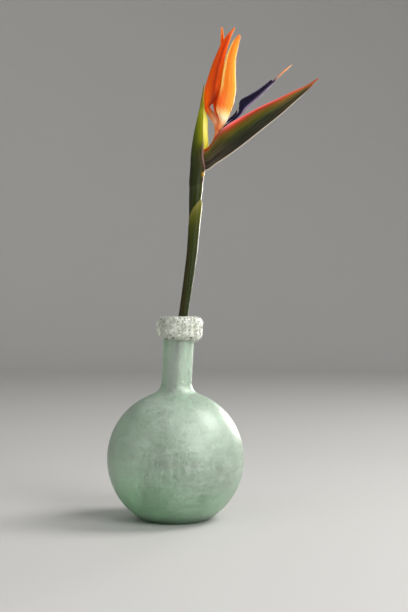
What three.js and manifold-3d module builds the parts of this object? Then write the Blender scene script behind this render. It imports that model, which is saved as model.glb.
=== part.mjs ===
// One bird of paradise flower standing in a round-bellied bottle vase of recycled glass.
// Millimetres, +Z up. The origin is the centre of the small flat spot that the vase stands on,
// -Y is the front of the vase, and the flower's beak points to +X.
import * as THREE from 'three';
import { mergeVertices } from 'three/addons/utils/BufferGeometryUtils.js';
import Module from 'manifold-3d';

const wasm = await Module();
wasm.setup();

// ---- driving dimensions: the glass ----
const GAP = 0.3;                 // clearance between pieces that rest on each other
const BELLY_RADIUS = 68.5;       // outside radius of the round belly
const BELLY_HEIGHT = 60.3;       // height of the belly's centre
const WALL = 3.4;                // glass wall
const FLOOR = 6;                 // thickness of the glass floor
const FOOT_FLAT = 29.3;          // radius of the flat spot underneath
const FOOT_ROUND = 12;           // rounding between the flat spot and the belly
const FLOOR_ROUND = 8;           // rounding inside, between the floor and the belly
const NECK_RADIUS = 15.4;        // outside radius of the neck
const SHOULDER = 12;             // hollow rounding between the belly and the neck
const NECK_TOP = 198;            // end of the neck, inside the lip wrap
const NECK_LEAN = 0.05;          // sideways lean of the hand-made neck, in mm per mm of height
const LEAN_START = 118;          // height where that lean begins
const LIP_RADIUS = 23.5;         // outside radius of the glass wound round the mouth
const LIP_BOTTOM = 179;
const LIP_TOP = 202.3;
const LIP_ROUND = 6;             // rounding of the wrap's outer corners
const MOUTH_RADIUS = 11;         // the hole that the stem comes through
const WATER_LEVEL = 58;
const WATER_GAP = 0.5;           // clearance between the water and the glass
const GLASS_SIDES = 36;

// ---- driving dimensions: the flower ----
const FOOT = new THREE.Vector3(-25, -9, 7);  // cut end of the stem, on the vase floor
const MOUTH_SET_BACK = 5.3;                  // how far behind the vase's axis the stem leaves the mouth
const STEM_LEAN = Math.atan((MOUTH_SET_BACK - FOOT.y) / (LIP_TOP - FOOT.z));
const BRACT_WALL = 0.9;
const SHEATH_WALL = 0.6;
const SPATHE_WALL = 1.1;
const SEPAL_WALL = 0.7;
const TONGUE_WALL = 0.8;
const HOOD_WALL = 0.6;
const TONGUE_ROOT = new THREE.Vector2(70, 386);  // x and z where the tongue leaves the flower base
const TONGUE_RISE = THREE.MathUtils.degToRad(41.6);

// ---- helpers ----

// A smooth reading of a table. Each row is [position, value, value, ...]. The result is a function
// from a position to its values, with no overshoot between rows. Its place(share) is the position
// that lies a share (0 to 1) of the way from the first row to the last.
function ladder(rows) {
  const rise = (i, c) => (rows[i + 1][c] - rows[i][c]) / (rows[i + 1][0] - rows[i][0]);
  const slope = (i, c) => {
    if (i === 0) return rise(0, c);
    if (i === rows.length - 1) return rise(i - 1, c);
    const before = rise(i - 1, c);
    const after = rise(i, c);
    return before * after <= 0 ? 0 : (2 * before * after) / (before + after);
  };
  const read = (position) => {
    let i = 0;
    while (i < rows.length - 2 && position > rows[i + 1][0]) i += 1;
    const span = rows[i + 1][0] - rows[i][0];
    const t = THREE.MathUtils.clamp((position - rows[i][0]) / span, 0, 1);
    const values = [];
    for (let c = 1; c < rows[i].length; c += 1) {
      const start = rows[i][c] * (1 + 2 * t) * (1 - t) ** 2 + slope(i, c) * span * t * (1 - t) ** 2;
      const end = rows[i + 1][c] * t * t * (3 - 2 * t) + slope(i + 1, c) * span * t * t * (t - 1);
      values.push(start + end);
    }
    return values;
  };
  read.place = (share) => THREE.MathUtils.lerp(rows[0][0], rows[rows.length - 1][0], share);
  return read;
}

// A closed geometry from a list of points and triangles, turned so that its faces point out.
function closedGeometry(positions, index) {
  const corner = [new THREE.Vector3(), new THREE.Vector3(), new THREE.Vector3()];
  let volume = 0;
  for (let i = 0; i < index.length; i += 3) {
    corner.forEach((point, k) => point.fromArray(positions, index[i + k] * 3));
    volume += corner[0].dot(corner[1].cross(corner[2]));
  }
  if (volume < 0) {
    for (let i = 0; i < index.length; i += 3) [index[i], index[i + 1]] = [index[i + 1], index[i]];
  }
  const geometry = new THREE.BufferGeometry();
  geometry.setAttribute('position', new THREE.Float32BufferAttribute(positions, 3));
  geometry.setIndex(index);
  geometry.computeVertexNormals();
  return geometry;
}

// The same geometry with shared points merged and the empty triangles on its axis dropped.
function merged(geometry) {
  const bare = geometry.clone();
  bare.deleteAttribute('normal');
  bare.deleteAttribute('uv');
  const whole = mergeVertices(bare, 1e-4);
  const index = [];
  for (let i = 0; i < whole.index.count; i += 3) {
    const [a, b, c] = [0, 1, 2].map((k) => whole.index.getX(i + k));
    if (a !== b && b !== c && c !== a) index.push(a, b, c);
  }
  return closedGeometry(Array.from(whole.attributes.position.array), index);
}

// Direction square to a surface at (u, v).
function normalAt(surface, u, v) {
  const step = 1e-3;
  const along = surface(Math.min(u + step, 1), v).sub(surface(Math.max(u - step, 0), v));
  const across = surface(u, Math.min(v + step, 1)).sub(surface(u, Math.max(v - step, 0)));
  return along.cross(across).normalize();
}

// A closed thin blade. Its hollow face follows surface(u, v), and its outer face lies one wall
// thickness away, on the side of the surface's normal (1) or opposite it (-1). wall(u) is the
// thickness. Both faces are split into triangles alike.
function blade(surface, wall, rows, columns, side) {
  const positions = [];
  for (const face of [0, side]) {
    for (let i = 0; i <= rows; i += 1) {
      for (let j = 0; j <= columns; j += 1) {
        const u = i / rows;
        const v = j / columns;
        const point = surface(u, v);
        if (face !== 0) point.addScaledVector(normalAt(surface, u, v), face * wall(u));
        positions.push(point.x, point.y, point.z);
      }
    }
  }
  const faceSize = (rows + 1) * (columns + 1);
  const at = (i, j, face) => face * faceSize + i * (columns + 1) + j;
  const index = [];
  for (let i = 0; i < rows; i += 1) {
    for (let j = 0; j < columns; j += 1) {
      for (const face of [0, 1]) {
        const [a, b, c, d] = [at(i, j, face), at(i + 1, j, face), at(i + 1, j + 1, face), at(i, j + 1, face)];
        index.push(...(face === 0 ? [a, b, c, a, c, d] : [a, c, b, a, d, c]));
      }
    }
  }
  const rim = (a, b) => index.push(a, b, b + faceSize, a, b + faceSize, a + faceSize);
  for (let i = 0; i < rows; i += 1) {
    rim(at(i + 1, 0, 0), at(i, 0, 0));
    rim(at(i, columns, 0), at(i + 1, columns, 0));
  }
  for (let j = 0; j < columns; j += 1) {
    rim(at(0, j, 0), at(0, j + 1, 0));
    rim(at(rows, j + 1, 0), at(rows, j, 0));
  }
  return closedGeometry(positions, index);
}

// A closed round limb through a list of stations. centre(station) is a point of its middle line,
// which lies in an upright plane, and radius(station) is its radius there.
function limb(stations, centre, radius, sides) {
  const positions = [];
  const index = [];
  const back = new THREE.Vector3(0, 1, 0);
  const last = stations.length - 1;
  stations.forEach((station, i) => {
    const middle = centre(station);
    const along = centre(stations[Math.min(i + 1, last)]).sub(centre(stations[Math.max(i - 1, 0)])).normalize();
    const left = back.clone().addScaledVector(along, -along.y).normalize();
    const up = along.clone().cross(left);
    for (let j = 0; j < sides; j += 1) {
      const turn = (2 * Math.PI * j) / sides;
      const point = middle.clone();
      point.addScaledVector(left, radius(station) * Math.cos(turn));
      point.addScaledVector(up, radius(station) * Math.sin(turn));
      positions.push(point.x, point.y, point.z);
    }
  });
  for (let i = 0; i < last; i += 1) {
    for (let j = 0; j < sides; j += 1) {
      const next = (j + 1) % sides;
      const [a, b, c, d] = [i * sides + j, (i + 1) * sides + j, (i + 1) * sides + next, i * sides + next];
      index.push(a, b, c, a, c, d);
    }
  }
  const cap = (station, first, inwards) => {
    const hub = positions.length / 3;
    const middle = centre(station);
    positions.push(middle.x, middle.y, middle.z);
    for (let j = 0; j < sides; j += 1) {
      const pair = [first + j, first + ((j + 1) % sides)];
      index.push(hub, ...(inwards ? pair : pair.reverse()));
    }
  };
  cap(stations[0], 0, true);
  cap(stations[last], last * sides, false);
  return closedGeometry(positions, index);
}

// Evenly spaced stations, both ends included.
function evenly(from, to, steps) {
  return Array.from({ length: steps + 1 }, (_, i) => from + ((to - from) * i) / steps);
}

// Points along an arc, angles in degrees, both ends included.
function arc(centreX, centreY, radius, from, to, steps) {
  return evenly(from, to, steps).map(THREE.MathUtils.degToRad).map((angle) => (
    new THREE.Vector2(centreX + radius * Math.cos(angle), centreY + radius * Math.sin(angle))
  ));
}

const angleOf = (x, y) => THREE.MathUtils.radToDeg(Math.atan2(y, x));

// A profile of (radius, height) points turned round the upright axis.
function turned(profile) {
  return merged(new THREE.LatheGeometry(profile, GLASS_SIDES).rotateX(Math.PI / 2));
}

// Sideways shift of the leaning neck at a height.
const neckShift = (height) => NECK_LEAN * Math.max(0, height - LEAN_START);

// Moves every point of a geometry by a rule that changes the point in place.
function reshape(geometry, rule) {
  const points = geometry.attributes.position;
  const point = new THREE.Vector3();
  for (let i = 0; i < points.count; i += 1) {
    point.fromBufferAttribute(points, i);
    rule(point);
    points.setXYZ(i, point.x, point.y, point.z);
  }
  geometry.computeVertexNormals();
  return geometry;
}

function toSolid(geometry) {
  const bare = merged(geometry);
  return new wasm.Manifold(new wasm.Mesh({
    numProp: 3,
    vertProperties: new Float32Array(bare.attributes.position.array),
    triVerts: new Uint32Array(bare.index.array),
  }));
}

function fromSolid(solid) {
  const mesh = solid.getMesh();
  return closedGeometry(Array.from(mesh.vertProperties), Array.from(mesh.triVerts));
}

// ---- the glass ----

// Centre of the hollow rounding where the belly runs into the neck.
const shoulderX = NECK_RADIUS + SHOULDER;
const shoulderZ = BELLY_HEIGHT + Math.sqrt((BELLY_RADIUS + SHOULDER) ** 2 - shoulderX ** 2);

// The belly, shoulder and neck of the outside (inset 0) or of the inside, from a given belly angle up.
function bellyToNeck(inset, from) {
  const radius = BELLY_RADIUS - inset;
  const hollow = SHOULDER + inset;
  const joint = angleOf(shoulderX, shoulderZ - BELLY_HEIGHT);
  return [
    ...arc(0, BELLY_HEIGHT, radius, from, joint, 12),
    ...arc(shoulderX, shoulderZ, hollow, joint + 180, 180, 4).slice(1),
    new THREE.Vector2(shoulderX - hollow, NECK_TOP),
  ];
}

// Centre of the rounding between the floor inside the vase and the belly.
const floorRoundZ = FLOOR + FLOOR_ROUND;
const floorRoundX = Math.sqrt((BELLY_RADIUS - WALL - FLOOR_ROUND) ** 2 - (BELLY_HEIGHT - floorRoundZ) ** 2);

function vaseBottle() {
  const footAngle = angleOf(FOOT_FLAT, FOOT_ROUND - BELLY_HEIGHT);
  const floorAngle = angleOf(floorRoundX, floorRoundZ - BELLY_HEIGHT);
  const outside = [
    new THREE.Vector2(0, 0),
    ...arc(FOOT_FLAT, FOOT_ROUND, FOOT_ROUND, -90, footAngle, 3),
    ...bellyToNeck(0, footAngle).slice(1),
  ];
  const inside = [
    new THREE.Vector2(0, FLOOR),
    ...arc(floorRoundX, floorRoundZ, FLOOR_ROUND, -90, floorAngle, 2),
    ...bellyToNeck(WALL, floorAngle).slice(1),
  ];
  const bottle = turned([...outside, ...inside.reverse()]);
  return reshape(bottle, (point) => { point.x += neckShift(point.z); });
}

// The wound ring is hand made: its lower edge dips on one side and its girth swells and thins.
function lipWrap() {
  const bore = NECK_RADIUS + GAP;
  const outer = LIP_RADIUS - LIP_ROUND;
  const profile = [
    new THREE.Vector2(bore, NECK_TOP + GAP),
    new THREE.Vector2(bore, LIP_BOTTOM + 1.5),
    ...arc(outer, LIP_BOTTOM + LIP_ROUND, LIP_ROUND, -100, 0, 4),
    ...arc(outer, LIP_TOP - LIP_ROUND, LIP_ROUND, 0, 90, 4),
    new THREE.Vector2(MOUTH_RADIUS + 1, LIP_TOP),
    new THREE.Vector2(MOUTH_RADIUS, LIP_TOP - 1),
    new THREE.Vector2(MOUTH_RADIUS, NECK_TOP + GAP),
  ];
  profile.push(profile[0].clone());
  return reshape(turned(profile), (point) => {
    const turn = Math.atan2(point.y, point.x);
    const reach = Math.hypot(point.x, point.y);
    const outward = THREE.MathUtils.smoothstep(reach, bore, outer);
    const swell = 1 + outward * (0.014 * Math.sin(3 * turn + 0.6) + 0.01 * Math.sin(5 * turn));
    const low = 1 - THREE.MathUtils.smoothstep(point.z, LIP_BOTTOM + 1, LIP_TOP - LIP_ROUND);
    point.x = point.x * swell + neckShift(point.z);
    point.y *= swell;
    point.z += outward * low * (-2.2 * Math.cos(turn) + 0.4 * Math.sin(4 * turn));
  });
}

function water() {
  const radius = BELLY_RADIUS - WALL - WATER_GAP;
  const round = FLOOR_ROUND - GAP;
  const floorAngle = angleOf(floorRoundX, floorRoundZ - BELLY_HEIGHT);
  const drop = WATER_LEVEL - BELLY_HEIGHT;
  const surfaceAngle = angleOf(Math.sqrt(radius ** 2 - drop ** 2), drop);
  const body = turned([
    new THREE.Vector2(0, FLOOR + GAP),
    ...arc(floorRoundX, floorRoundZ, round, -90, floorAngle, 2),
    ...arc(0, BELLY_HEIGHT, radius, floorAngle, surfaceAngle, 7).slice(1),
    new THREE.Vector2(0, WATER_LEVEL),
  ]);
  const reach = (height) => stemRadius(height) + GAP;
  const hole = limb(evenly(-5, WATER_LEVEL + 5, 8), stemLine, reach, STEM_SIDES);
  hole.applyMatrix4(flowerPlace());
  return fromSolid(toSolid(body).subtract(toSolid(hole)));
}

// ---- the stalk ----
// The flower is drawn in its own upright plane: x to the right, y to the back and z up from the
// cut end of the stem. The whole plane then leans back about that foot.

function flowerPlace() {
  const lean = new THREE.Matrix4().makeRotationX(-STEM_LEAN);
  return lean.setPosition(FOOT);
}

// height, x of the stem's middle line, radius of the stalk alone
const STEM_ROWS = ladder([
  [-10, -1.6, 3.4],
  [0, 0, 3.4],
  [31, 5.6, 3.4],
  [106, 17.7, 3.45],
  [196, 32.2, 3.6],
  [239, 38.5, 4.15],
  [262, 41.4, 4.45],
  [283, 43.0, 4.85],
  [297, 43.7, 5.65],
  [314, 44.4, 6.35],
  [330.4, 45.4, 7.0],
  [331.2, 45.4, 5.7],
  [338, 45.8, 5.8],
  [343, 46.4, 5.9],
]);
const NODE_TOP = 343;
const NODE_FOOT = 324;
const COLLAR_STEP = [330.4, 331.2];   // the node's ring ends here, just under the upper bract
const STEM_SIDES = 14;
const SHEATH_FOOT = 118;
const SHEATH_RIM_LOW = 286.5;    // lowest and highest point of its slanting free edge
const SHEATH_APEX = 314.5;
const SHEATH_GAP = 0.4;
const SLIT_WIDTH = 8;            // degrees left open between the sheath's two long edges
const stemLine = (height) => new THREE.Vector3(STEM_ROWS(height)[0], 0, height);
const stemRadius = (height) => STEM_ROWS(height)[1];

function stem() {
  const stations = [...evenly(0, NODE_FOOT, 27), ...COLLAR_STEP, 338, NODE_TOP];
  return limb(stations, stemLine, stemRadius, STEM_SIDES);
}

// The rolled bract round the stalk. Its free edge starts at a pointed apex on the right, slants
// down across the front and then runs down the left of the stalk as a fine slit.
function stemSheath() {
  const apexTurn = 1 / 3;
  // height, azimuth of the slit
  const slitTurn = ladder([[118, -80], [197, -92], [240, -112], [263, -124], [287, -165], [315, -165]]);
  const surface = (u, v) => {
    const rising = v < apexTurn ? (v / apexTurn) ** 0.6 : ((1 - v) / (1 - apexTurn)) ** 1.2;
    const top = THREE.MathUtils.lerp(SHEATH_RIM_LOW, SHEATH_APEX, rising);
    const height = THREE.MathUtils.lerp(SHEATH_FOOT, top, u);
    const slit = slitTurn(height)[0] + SLIT_WIDTH / 2;
    const turn = THREE.MathUtils.degToRad(slit + (360 - SLIT_WIDTH) * v);
    const flare = 0.5 * THREE.MathUtils.smoothstep(height, SHEATH_RIM_LOW + 5, SHEATH_APEX + 1);
    const reach = stemRadius(height) + SHEATH_GAP + flare;
    const middle = stemLine(height);
    return new THREE.Vector3(middle.x + reach * Math.cos(turn), reach * Math.sin(turn), height);
  };
  return blade(surface, () => SHEATH_WALL, 16, 18, -1);
}

// The upright bract that clasps the node: closed round the stalk at its foot, then an open trough
// that faces +X and ends in a point. Its two edges stand a little apart, the back one further out.
function upperBract() {
  // height, x of the keel, x of the edges, half width, how far round the edges come, sideways skew
  const row = ladder([
    [331.6, 38.2, 51.9, 7.3, 178, 0],
    [338, 38.6, 52.9, 7.6, 176, 0],
    [341, 38.8, 53.4, 7.75, 170, 0],
    [345, 39.1, 54.0, 7.9, 150, 0],
    [350, 39.5, 54.0, 8.2, 130, 0.05],
    [357, 40.1, 53.8, 8.5, 114, 0.18],
    [368, 41.1, 55.4, 8.9, 102, 0.3],
    [375, 42.1, 55.4, 8.6, 96, 0.3],
    [386, 44.0, 55.0, 7.6, 92, 0.33],
    [396, 46.3, 55.1, 6.4, 90, 0.38],
    [404, 47.8, 54.4, 5.2, 88, 0.3],
    [410, 49.0, 53.2, 4.4, 86, -0.15],
    [416, 50.1, 52.7, 3.4, 84, -0.2],
    [425, 51.8, 53.3, 2.1, 80, -0.2],
    [432.5, 52.9, 54.1, 1.3, 75, 0],
  ]);
  const surface = (u, v) => {
    const height = row.place(u);
    const [keel, edge, half, sweep, skew] = row(height);
    const limit = THREE.MathUtils.degToRad(sweep);
    const turn = limit * Math.abs(2 * v - 1);
    const inner = keel + BRACT_WALL;
    const x = inner + (edge - inner) * (1 - Math.cos(turn)) / (1 - Math.cos(limit));
    const y = Math.sign(2 * v - 1) * Math.max(half - BRACT_WALL, 0.35) * Math.sin(turn);
    return new THREE.Vector3(x + skew * y, y, height);
  };
  return blade(surface, () => BRACT_WALL, 26, 12, 1);
}

// ---- the flower head ----

// The beak's wall thins towards its tip.
const spatheWall = (u) => SPATHE_WALL - 0.5 * THREE.MathUtils.smoothstep(u, 0.75, 1);

// The hollow beak: keel below, edges meeting above, parted where the flower comes out.
function spathe() {
  // position, x and z of the keel, x and z of the edges, half width, how far round the edges come
  const row = ladder([
    [0, 51.2, 344.7, 53.0, 364.8, 5.2, 150],
    [0.03, 54.6, 344.4, 58.2, 368.2, 5.6, 146],
    [0.1, 64.0, 350.4, 65.2, 378.2, 6.8, 124],
    [0.18, 74.5, 357.2, 72.6, 386.2, 7.7, 122],
    [0.26, 84.8, 364.6, 80.4, 392.2, 8.1, 136],
    [0.35, 96.5, 373.6, 91.0, 398.5, 8.0, 152],
    [0.48, 113.0, 387.0, 108.0, 408.0, 7.4, 164],
    [0.62, 130.0, 400.8, 126.5, 416.6, 6.2, 166],
    [0.76, 145.5, 414.8, 144.0, 425.2, 4.5, 166],
    [0.88, 157.5, 426.0, 157.0, 431.1, 2.5, 164],
    [1, 169.6, 438.6, 169.8, 439.4, 0.9, 150],
  ]);
  const surface = (u, v) => {
    const [keelX, keelZ, edgeX, edgeZ, half, sweep] = row(u ** 1.15);
    const keel = new THREE.Vector3(keelX, 0, keelZ);
    const edge = new THREE.Vector3(edgeX, 0, edgeZ);
    const rise = edge.clone().sub(keel);
    keel.addScaledVector(rise.clone().normalize(), Math.min(spatheWall(u), rise.length() * 0.3));
    const limit = THREE.MathUtils.degToRad(sweep);
    const turn = limit * Math.abs(2 * v - 1);
    const point = keel.lerp(edge, (1 - Math.cos(turn)) / (1 - Math.cos(limit)));
    point.y = Math.sign(2 * v - 1) * Math.max(half - spatheWall(u), 0.3) * Math.sin(turn) ** 1.3;
    return point;
  };
  return blade(surface, spatheWall, 28, 14, -1);
}

function flowerBase() {
  // position, x, z, radius
  const row = ladder([
    [0, 48.0, 344.8, 1.5],
    [0.12, 50.4, 349.2, 1.7],
    [0.3, 54.2, 356.8, 2.1],
    [0.7, 61.2, 371.5, 2.6],
    [1, 65.2, 382.4, 3.2],
  ]);
  const centre = (t) => new THREE.Vector3(row(t)[0], 0, row(t)[1]);
  return limb(evenly(0, 1, 9), centre, (t) => row(t)[2], 10);
}

// A boat-folded sepal. Rows: height, x and y of the keel, breadth of the two wings. The keel looks
// towards the azimuth keelTurn, and the wings open foldAngle to each side of the opposite way.
function sepal(rows, keelTurn, foldAngle) {
  const row = ladder(rows);
  const fold = THREE.MathUtils.degToRad(foldAngle);
  const outward = new THREE.Vector3(
    Math.cos(THREE.MathUtils.degToRad(keelTurn)),
    Math.sin(THREE.MathUtils.degToRad(keelTurn)),
    0,
  );
  const keelAt = (u) => {
    const height = row.place(u);
    const [x, y] = row(height);
    return new THREE.Vector3(x, y, height).addScaledVector(outward, -SEPAL_WALL);
  };
  const surface = (u, v) => {
    const [, , plusWing, minusWing] = row(row.place(u));
    const along = keelAt(Math.min(u + 0.01, 1)).sub(keelAt(Math.max(u - 0.01, 0))).normalize();
    const out = outward.clone().addScaledVector(along, -along.dot(outward)).normalize();
    const aside = along.clone().cross(out);
    const across = 2 * v - 1;
    const breadth = across > 0 ? plusWing : minusWing;
    const crease = Math.min(0.5, 1.8 / breadth);
    const inward = breadth * (Math.hypot(across, crease) - crease) * Math.cos(fold);
    const belly = 0.09 * breadth * Math.sin(Math.PI * Math.abs(across));
    const point = keelAt(u).addScaledVector(out, -inward + belly * Math.sin(fold));
    const sideways = breadth * across * Math.sin(fold) + Math.sign(across) * belly * Math.cos(fold);
    return point.addScaledVector(aside, sideways);
  };
  return blade(surface, () => SEPAL_WALL, 26, 8, -1);
}

function sepalFront() {
  return sepal([
    [384, 68.6, -2.6, 1.2, 2.2],
    [388, 71.6, -3.2, 1.4, 4.0],
    [392, 74.6, -4.2, 1.4, 7.0],
    [397, 77.2, -4.8, 2.0, 11.0],
    [403, 79.2, -5.2, 3.0, 14.6],
    [411, 81.6, -5.2, 9.0, 16.3],
    [420, 83.2, -5.2, 13.8, 15.2],
    [430, 84.3, -5.2, 14.6, 14.2],
    [443, 84.0, -5.2, 13.0, 12.0],
    [456, 84.2, -5.2, 10.6, 9.6],
    [467, 86.0, -5.2, 7.6, 7.4],
    [476, 88.4, -5.2, 4.8, 5.4],
    [482.6, 90.3, -5.2, 1.4, 1.6],
  ], -42, 43);
}

function sepalLeft() {
  return sepal([
    [384, 64.6, 0.5, 2.4, 1.8],
    [390, 64.1, 0.7, 4.2, 2.2],
    [397, 61.1, 1.0, 6.4, 3.4],
    [403, 57.2, 1.2, 6.0, 5.0],
    [408, 54.6, 1.3, 5.8, 7.4],
    [413, 53.5, 1.3, 10.4, 10.4],
    [419, 53.4, 1.3, 15.0, 13.0],
    [427, 54.2, 1.3, 16.4, 14.5],
    [436, 56.3, 1.3, 15.8, 14.2],
    [444, 58.7, 1.3, 14.4, 12.0],
    [454, 62.0, 1.3, 12.2, 8.8],
    [463, 65.6, 1.3, 10.4, 6.8],
    [472, 69.6, 1.3, 8.6, 5.8],
    [483, 76.0, 1.3, 5.6, 4.2],
    [492.4, 84.0, 1.3, 1.0, 1.0],
  ], 210, 35);
}

function sepalBack() {
  return sepal([
    [384.5, 67.5, 4.5, 1.7, 1.7],
    [391, 68.0, 7.2, 2.7, 2.7],
    [400, 67.8, 11.2, 6.5, 6.5],
    [411, 67.8, 14.0, 11.0, 11.0],
    [422, 68.1, 15.4, 12.8, 12.8],
    [436, 68.8, 16.2, 12.4, 12.4],
    [450, 69.9, 16.2, 10.2, 10.2],
    [464, 71.2, 15.4, 7.2, 7.2],
    [478, 72.2, 14.0, 4.0, 4.0],
    [488, 72.0, 12.6, 2.4, 2.4],
    [495.6, 71.6, 11.2, 0.8, 0.8],
  ], 90, 25);
}

// A place along the tongue: distance from its root, sideways distance, height over its axis.
function onTongue(along, aside, above) {
  const x = TONGUE_ROOT.x + along * Math.cos(TONGUE_RISE) - above * Math.sin(TONGUE_RISE);
  const z = TONGUE_ROOT.y + along * Math.sin(TONGUE_RISE) + above * Math.cos(TONGUE_RISE);
  return new THREE.Vector3(x, aside, z);
}

// distance along the tongue, height of its keel over the axis, breadth of each wing
const TONGUE_ROWS = ladder([
  [1, 0.8, 1],
  [6, -0.8, 1.4],
  [11, -2, 2.2],
  [17, -2.4, 3],
  [21, -2.5, 3.8],
  [25, -2.4, 4.8],
  [28, -2.35, 7],
  [29.8, -2.3, 10.6],
  [31.5, -2.25, 12.6],
  [34.5, -2.1, 13.5],
  [37.5, -1.85, 12.8],
  [42, -1.75, 11.4],
  [48, -1.65, 10],
  [54, -1.4, 8.5],
  [60, -1, 7.3],
  [66, -0.75, 6.6],
  [70.5, -0.5, 6.1],
  [72.2, -0.3, 5.6],
  [73.6, -0.1, 2.6],
  [75.5, 0.2, 1.2],
]);

function blueTongue() {
  const fold = THREE.MathUtils.degToRad(44);
  const surface = (u, v) => {
    const along = TONGUE_ROWS.place(u);
    const [keel, breadth] = TONGUE_ROWS(along);
    const across = 2 * v - 1;
    const crease = Math.min(0.6, 1.2 / breadth);
    const above = keel + TONGUE_WALL + breadth * (Math.hypot(across, crease) - crease) * Math.cos(fold);
    const flare = 0.1 * breadth * across ** 3;
    return onTongue(along, breadth * across * Math.sin(fold) + flare, above);
  };
  return blade(surface, () => TONGUE_WALL, 30, 8, -1);
}

// The style lies in the groove and ends in the pointed stigma.
function style() {
  // distance along the tongue, height over its axis, radius
  const row = ladder([
    [4, 1.9, 0.55],
    [9, 0.8, 0.55],
    [15, -0.1, 0.55],
    [24, -0.35, 0.55],
    [31, -0.1, 0.6],
    [40, 0.3, 0.6],
    [50, 0.45, 0.6],
    [60, 1, 0.6],
    [68, 1.35, 0.6],
    [73, 1.75, 0.62],
    [76, 2.05, 0.68],
    [80, 1.8, 0.95],
    [84, 1.95, 1.1],
    [89, 2.1, 1.05],
    [94, 2, 0.8],
    [99.5, 1.7, 0.35],
  ]);
  const centre = (along) => onTongue(along, 0, row(along)[0]);
  return limb(evenly(row.place(0), row.place(1), 28), centre, (along) => row(along)[1], 8);
}

// A short hood over the foot of the style.
function nectaryPetal() {
  // distance along the tongue, height of the hood's crown over the axis, half width
  const row = ladder([
    [9, 2.6, 1.5],
    [14, 2.2, 1.8],
    [19, 2.3, 2],
    [23, 2.8, 1.8],
    [26, 3.8, 0.9],
  ]);
  const surface = (u, v) => {
    const along = row.place(u);
    const [crown, half] = row(along);
    const turn = THREE.MathUtils.degToRad(80) * (2 * v - 1);
    return onTongue(along, half * Math.sin(turn), crown - half * (1 - Math.cos(turn)));
  };
  return blade(surface, () => HOOD_WALL, 9, 6, 1);
}

// ---- the object ----

function mesh(name, geometry, color, roughness, extra = {}) {
  const material = new THREE.MeshStandardMaterial({ color, roughness, metalness: 0, ...extra });
  const piece = new THREE.Mesh(geometry, material);
  piece.name = name;
  return piece;
}

const vase = new THREE.Group();
vase.add(mesh('vase_bottle', vaseBottle(), 0xa9c9b4, 0.45, { transparent: true, opacity: 0.6 }));
vase.add(mesh('vase_lip_wrap', lipWrap(), 0xdde5de, 0.3, { transparent: true, opacity: 0.8 }));
vase.add(mesh('water', water(), 0xd8ebe2, 0.05, { transparent: true, opacity: 0.3 }));

const flower = new THREE.Group();
flower.applyMatrix4(flowerPlace());
flower.add(mesh('stem', stem(), 0x55702b, 0.5));
flower.add(mesh('stem_sheath', stemSheath(), 0x4f6b2a, 0.5));
flower.add(mesh('upper_bract', upperBract(), 0x6d8a2c, 0.5));
flower.add(mesh('spathe', spathe(), 0x6a6b34, 0.45));
flower.add(mesh('flower_base', flowerBase(), 0xe9cfa6, 0.5));
flower.add(mesh('sepal_front', sepalFront(), 0xff9a2e, 0.5));
flower.add(mesh('sepal_left', sepalLeft(), 0xe8620c, 0.5));
flower.add(mesh('sepal_back', sepalBack(), 0xf07a1a, 0.5));
flower.add(mesh('blue_tongue', blueTongue(), 0x262a5c, 0.4));
flower.add(mesh('nectary_petal', nectaryPetal(), 0x39406f, 0.4));
flower.add(mesh('style', style(), 0xe0926e, 0.5));

const object = new THREE.Group();
object.add(vase, flower);
export default object;
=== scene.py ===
"""A bird of paradise flower standing in a hand-made bottle vase of frosted glass.

The flower is drawn in its own upright plane, in millimetres: x towards the beak, y to the back and
z up from the cut end of the stem. FlowerPlane leans that plane back and sets it on the vase floor.
"""

import logging
import math
from dataclasses import dataclass
from enum import Enum
from typing import Callable, Optional, Union

import bpy
import numpy as np
from bpy.types import Material, NodeSocket, Object
from mathutils import Matrix, Vector, noise


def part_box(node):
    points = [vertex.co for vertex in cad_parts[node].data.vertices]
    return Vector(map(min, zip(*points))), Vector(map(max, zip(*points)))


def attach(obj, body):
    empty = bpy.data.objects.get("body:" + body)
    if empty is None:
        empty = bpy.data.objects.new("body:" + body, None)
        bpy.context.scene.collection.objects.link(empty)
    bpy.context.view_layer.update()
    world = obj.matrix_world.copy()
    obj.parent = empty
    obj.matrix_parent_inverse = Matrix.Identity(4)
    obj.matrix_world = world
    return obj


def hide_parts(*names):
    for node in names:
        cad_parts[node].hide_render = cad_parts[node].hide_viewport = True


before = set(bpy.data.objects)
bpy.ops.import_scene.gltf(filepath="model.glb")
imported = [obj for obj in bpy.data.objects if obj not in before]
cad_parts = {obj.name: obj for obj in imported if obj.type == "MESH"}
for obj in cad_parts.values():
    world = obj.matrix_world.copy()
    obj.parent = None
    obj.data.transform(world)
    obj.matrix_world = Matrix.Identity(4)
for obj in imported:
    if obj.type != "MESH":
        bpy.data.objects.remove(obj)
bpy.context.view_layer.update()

log = logging.getLogger("flower")

MM = 0.001
BODY = "root"

Colour = tuple[float, float, float]
Stops = tuple[tuple[float, Colour], ...]
Rows = tuple[tuple[float, ...], ...]
Surface = Callable[[np.ndarray, np.ndarray], np.ndarray]


# ---- numbers and tables ----


def smooth(value: np.ndarray, low: float, high: float) -> np.ndarray:
    """Soft step of a value from 0 at low to 1 at high."""
    t = np.clip((value - low) / (high - low), 0.0, 1.0)
    return t * t * (3.0 - 2.0 * t)


def linear(colour: Colour) -> tuple[float, float, float, float]:
    """Turns a screen colour from 0 to 1 into the linear colour that a shader takes.

    Args:
        colour: red, green and blue as a screen shows them.

    Returns:
        The same colour in linear light, opaque.
    """
    parts = [c / 12.92 if c <= 0.04045 else ((c + 0.055) / 1.055) ** 2.4 for c in colour]
    return (parts[0], parts[1], parts[2], 1.0)


def unit(vectors: np.ndarray) -> np.ndarray:
    """Scales every vector in the last axis to length one."""
    return vectors / np.maximum(np.linalg.norm(vectors, axis=-1, keepdims=True), 1e-12)


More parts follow.
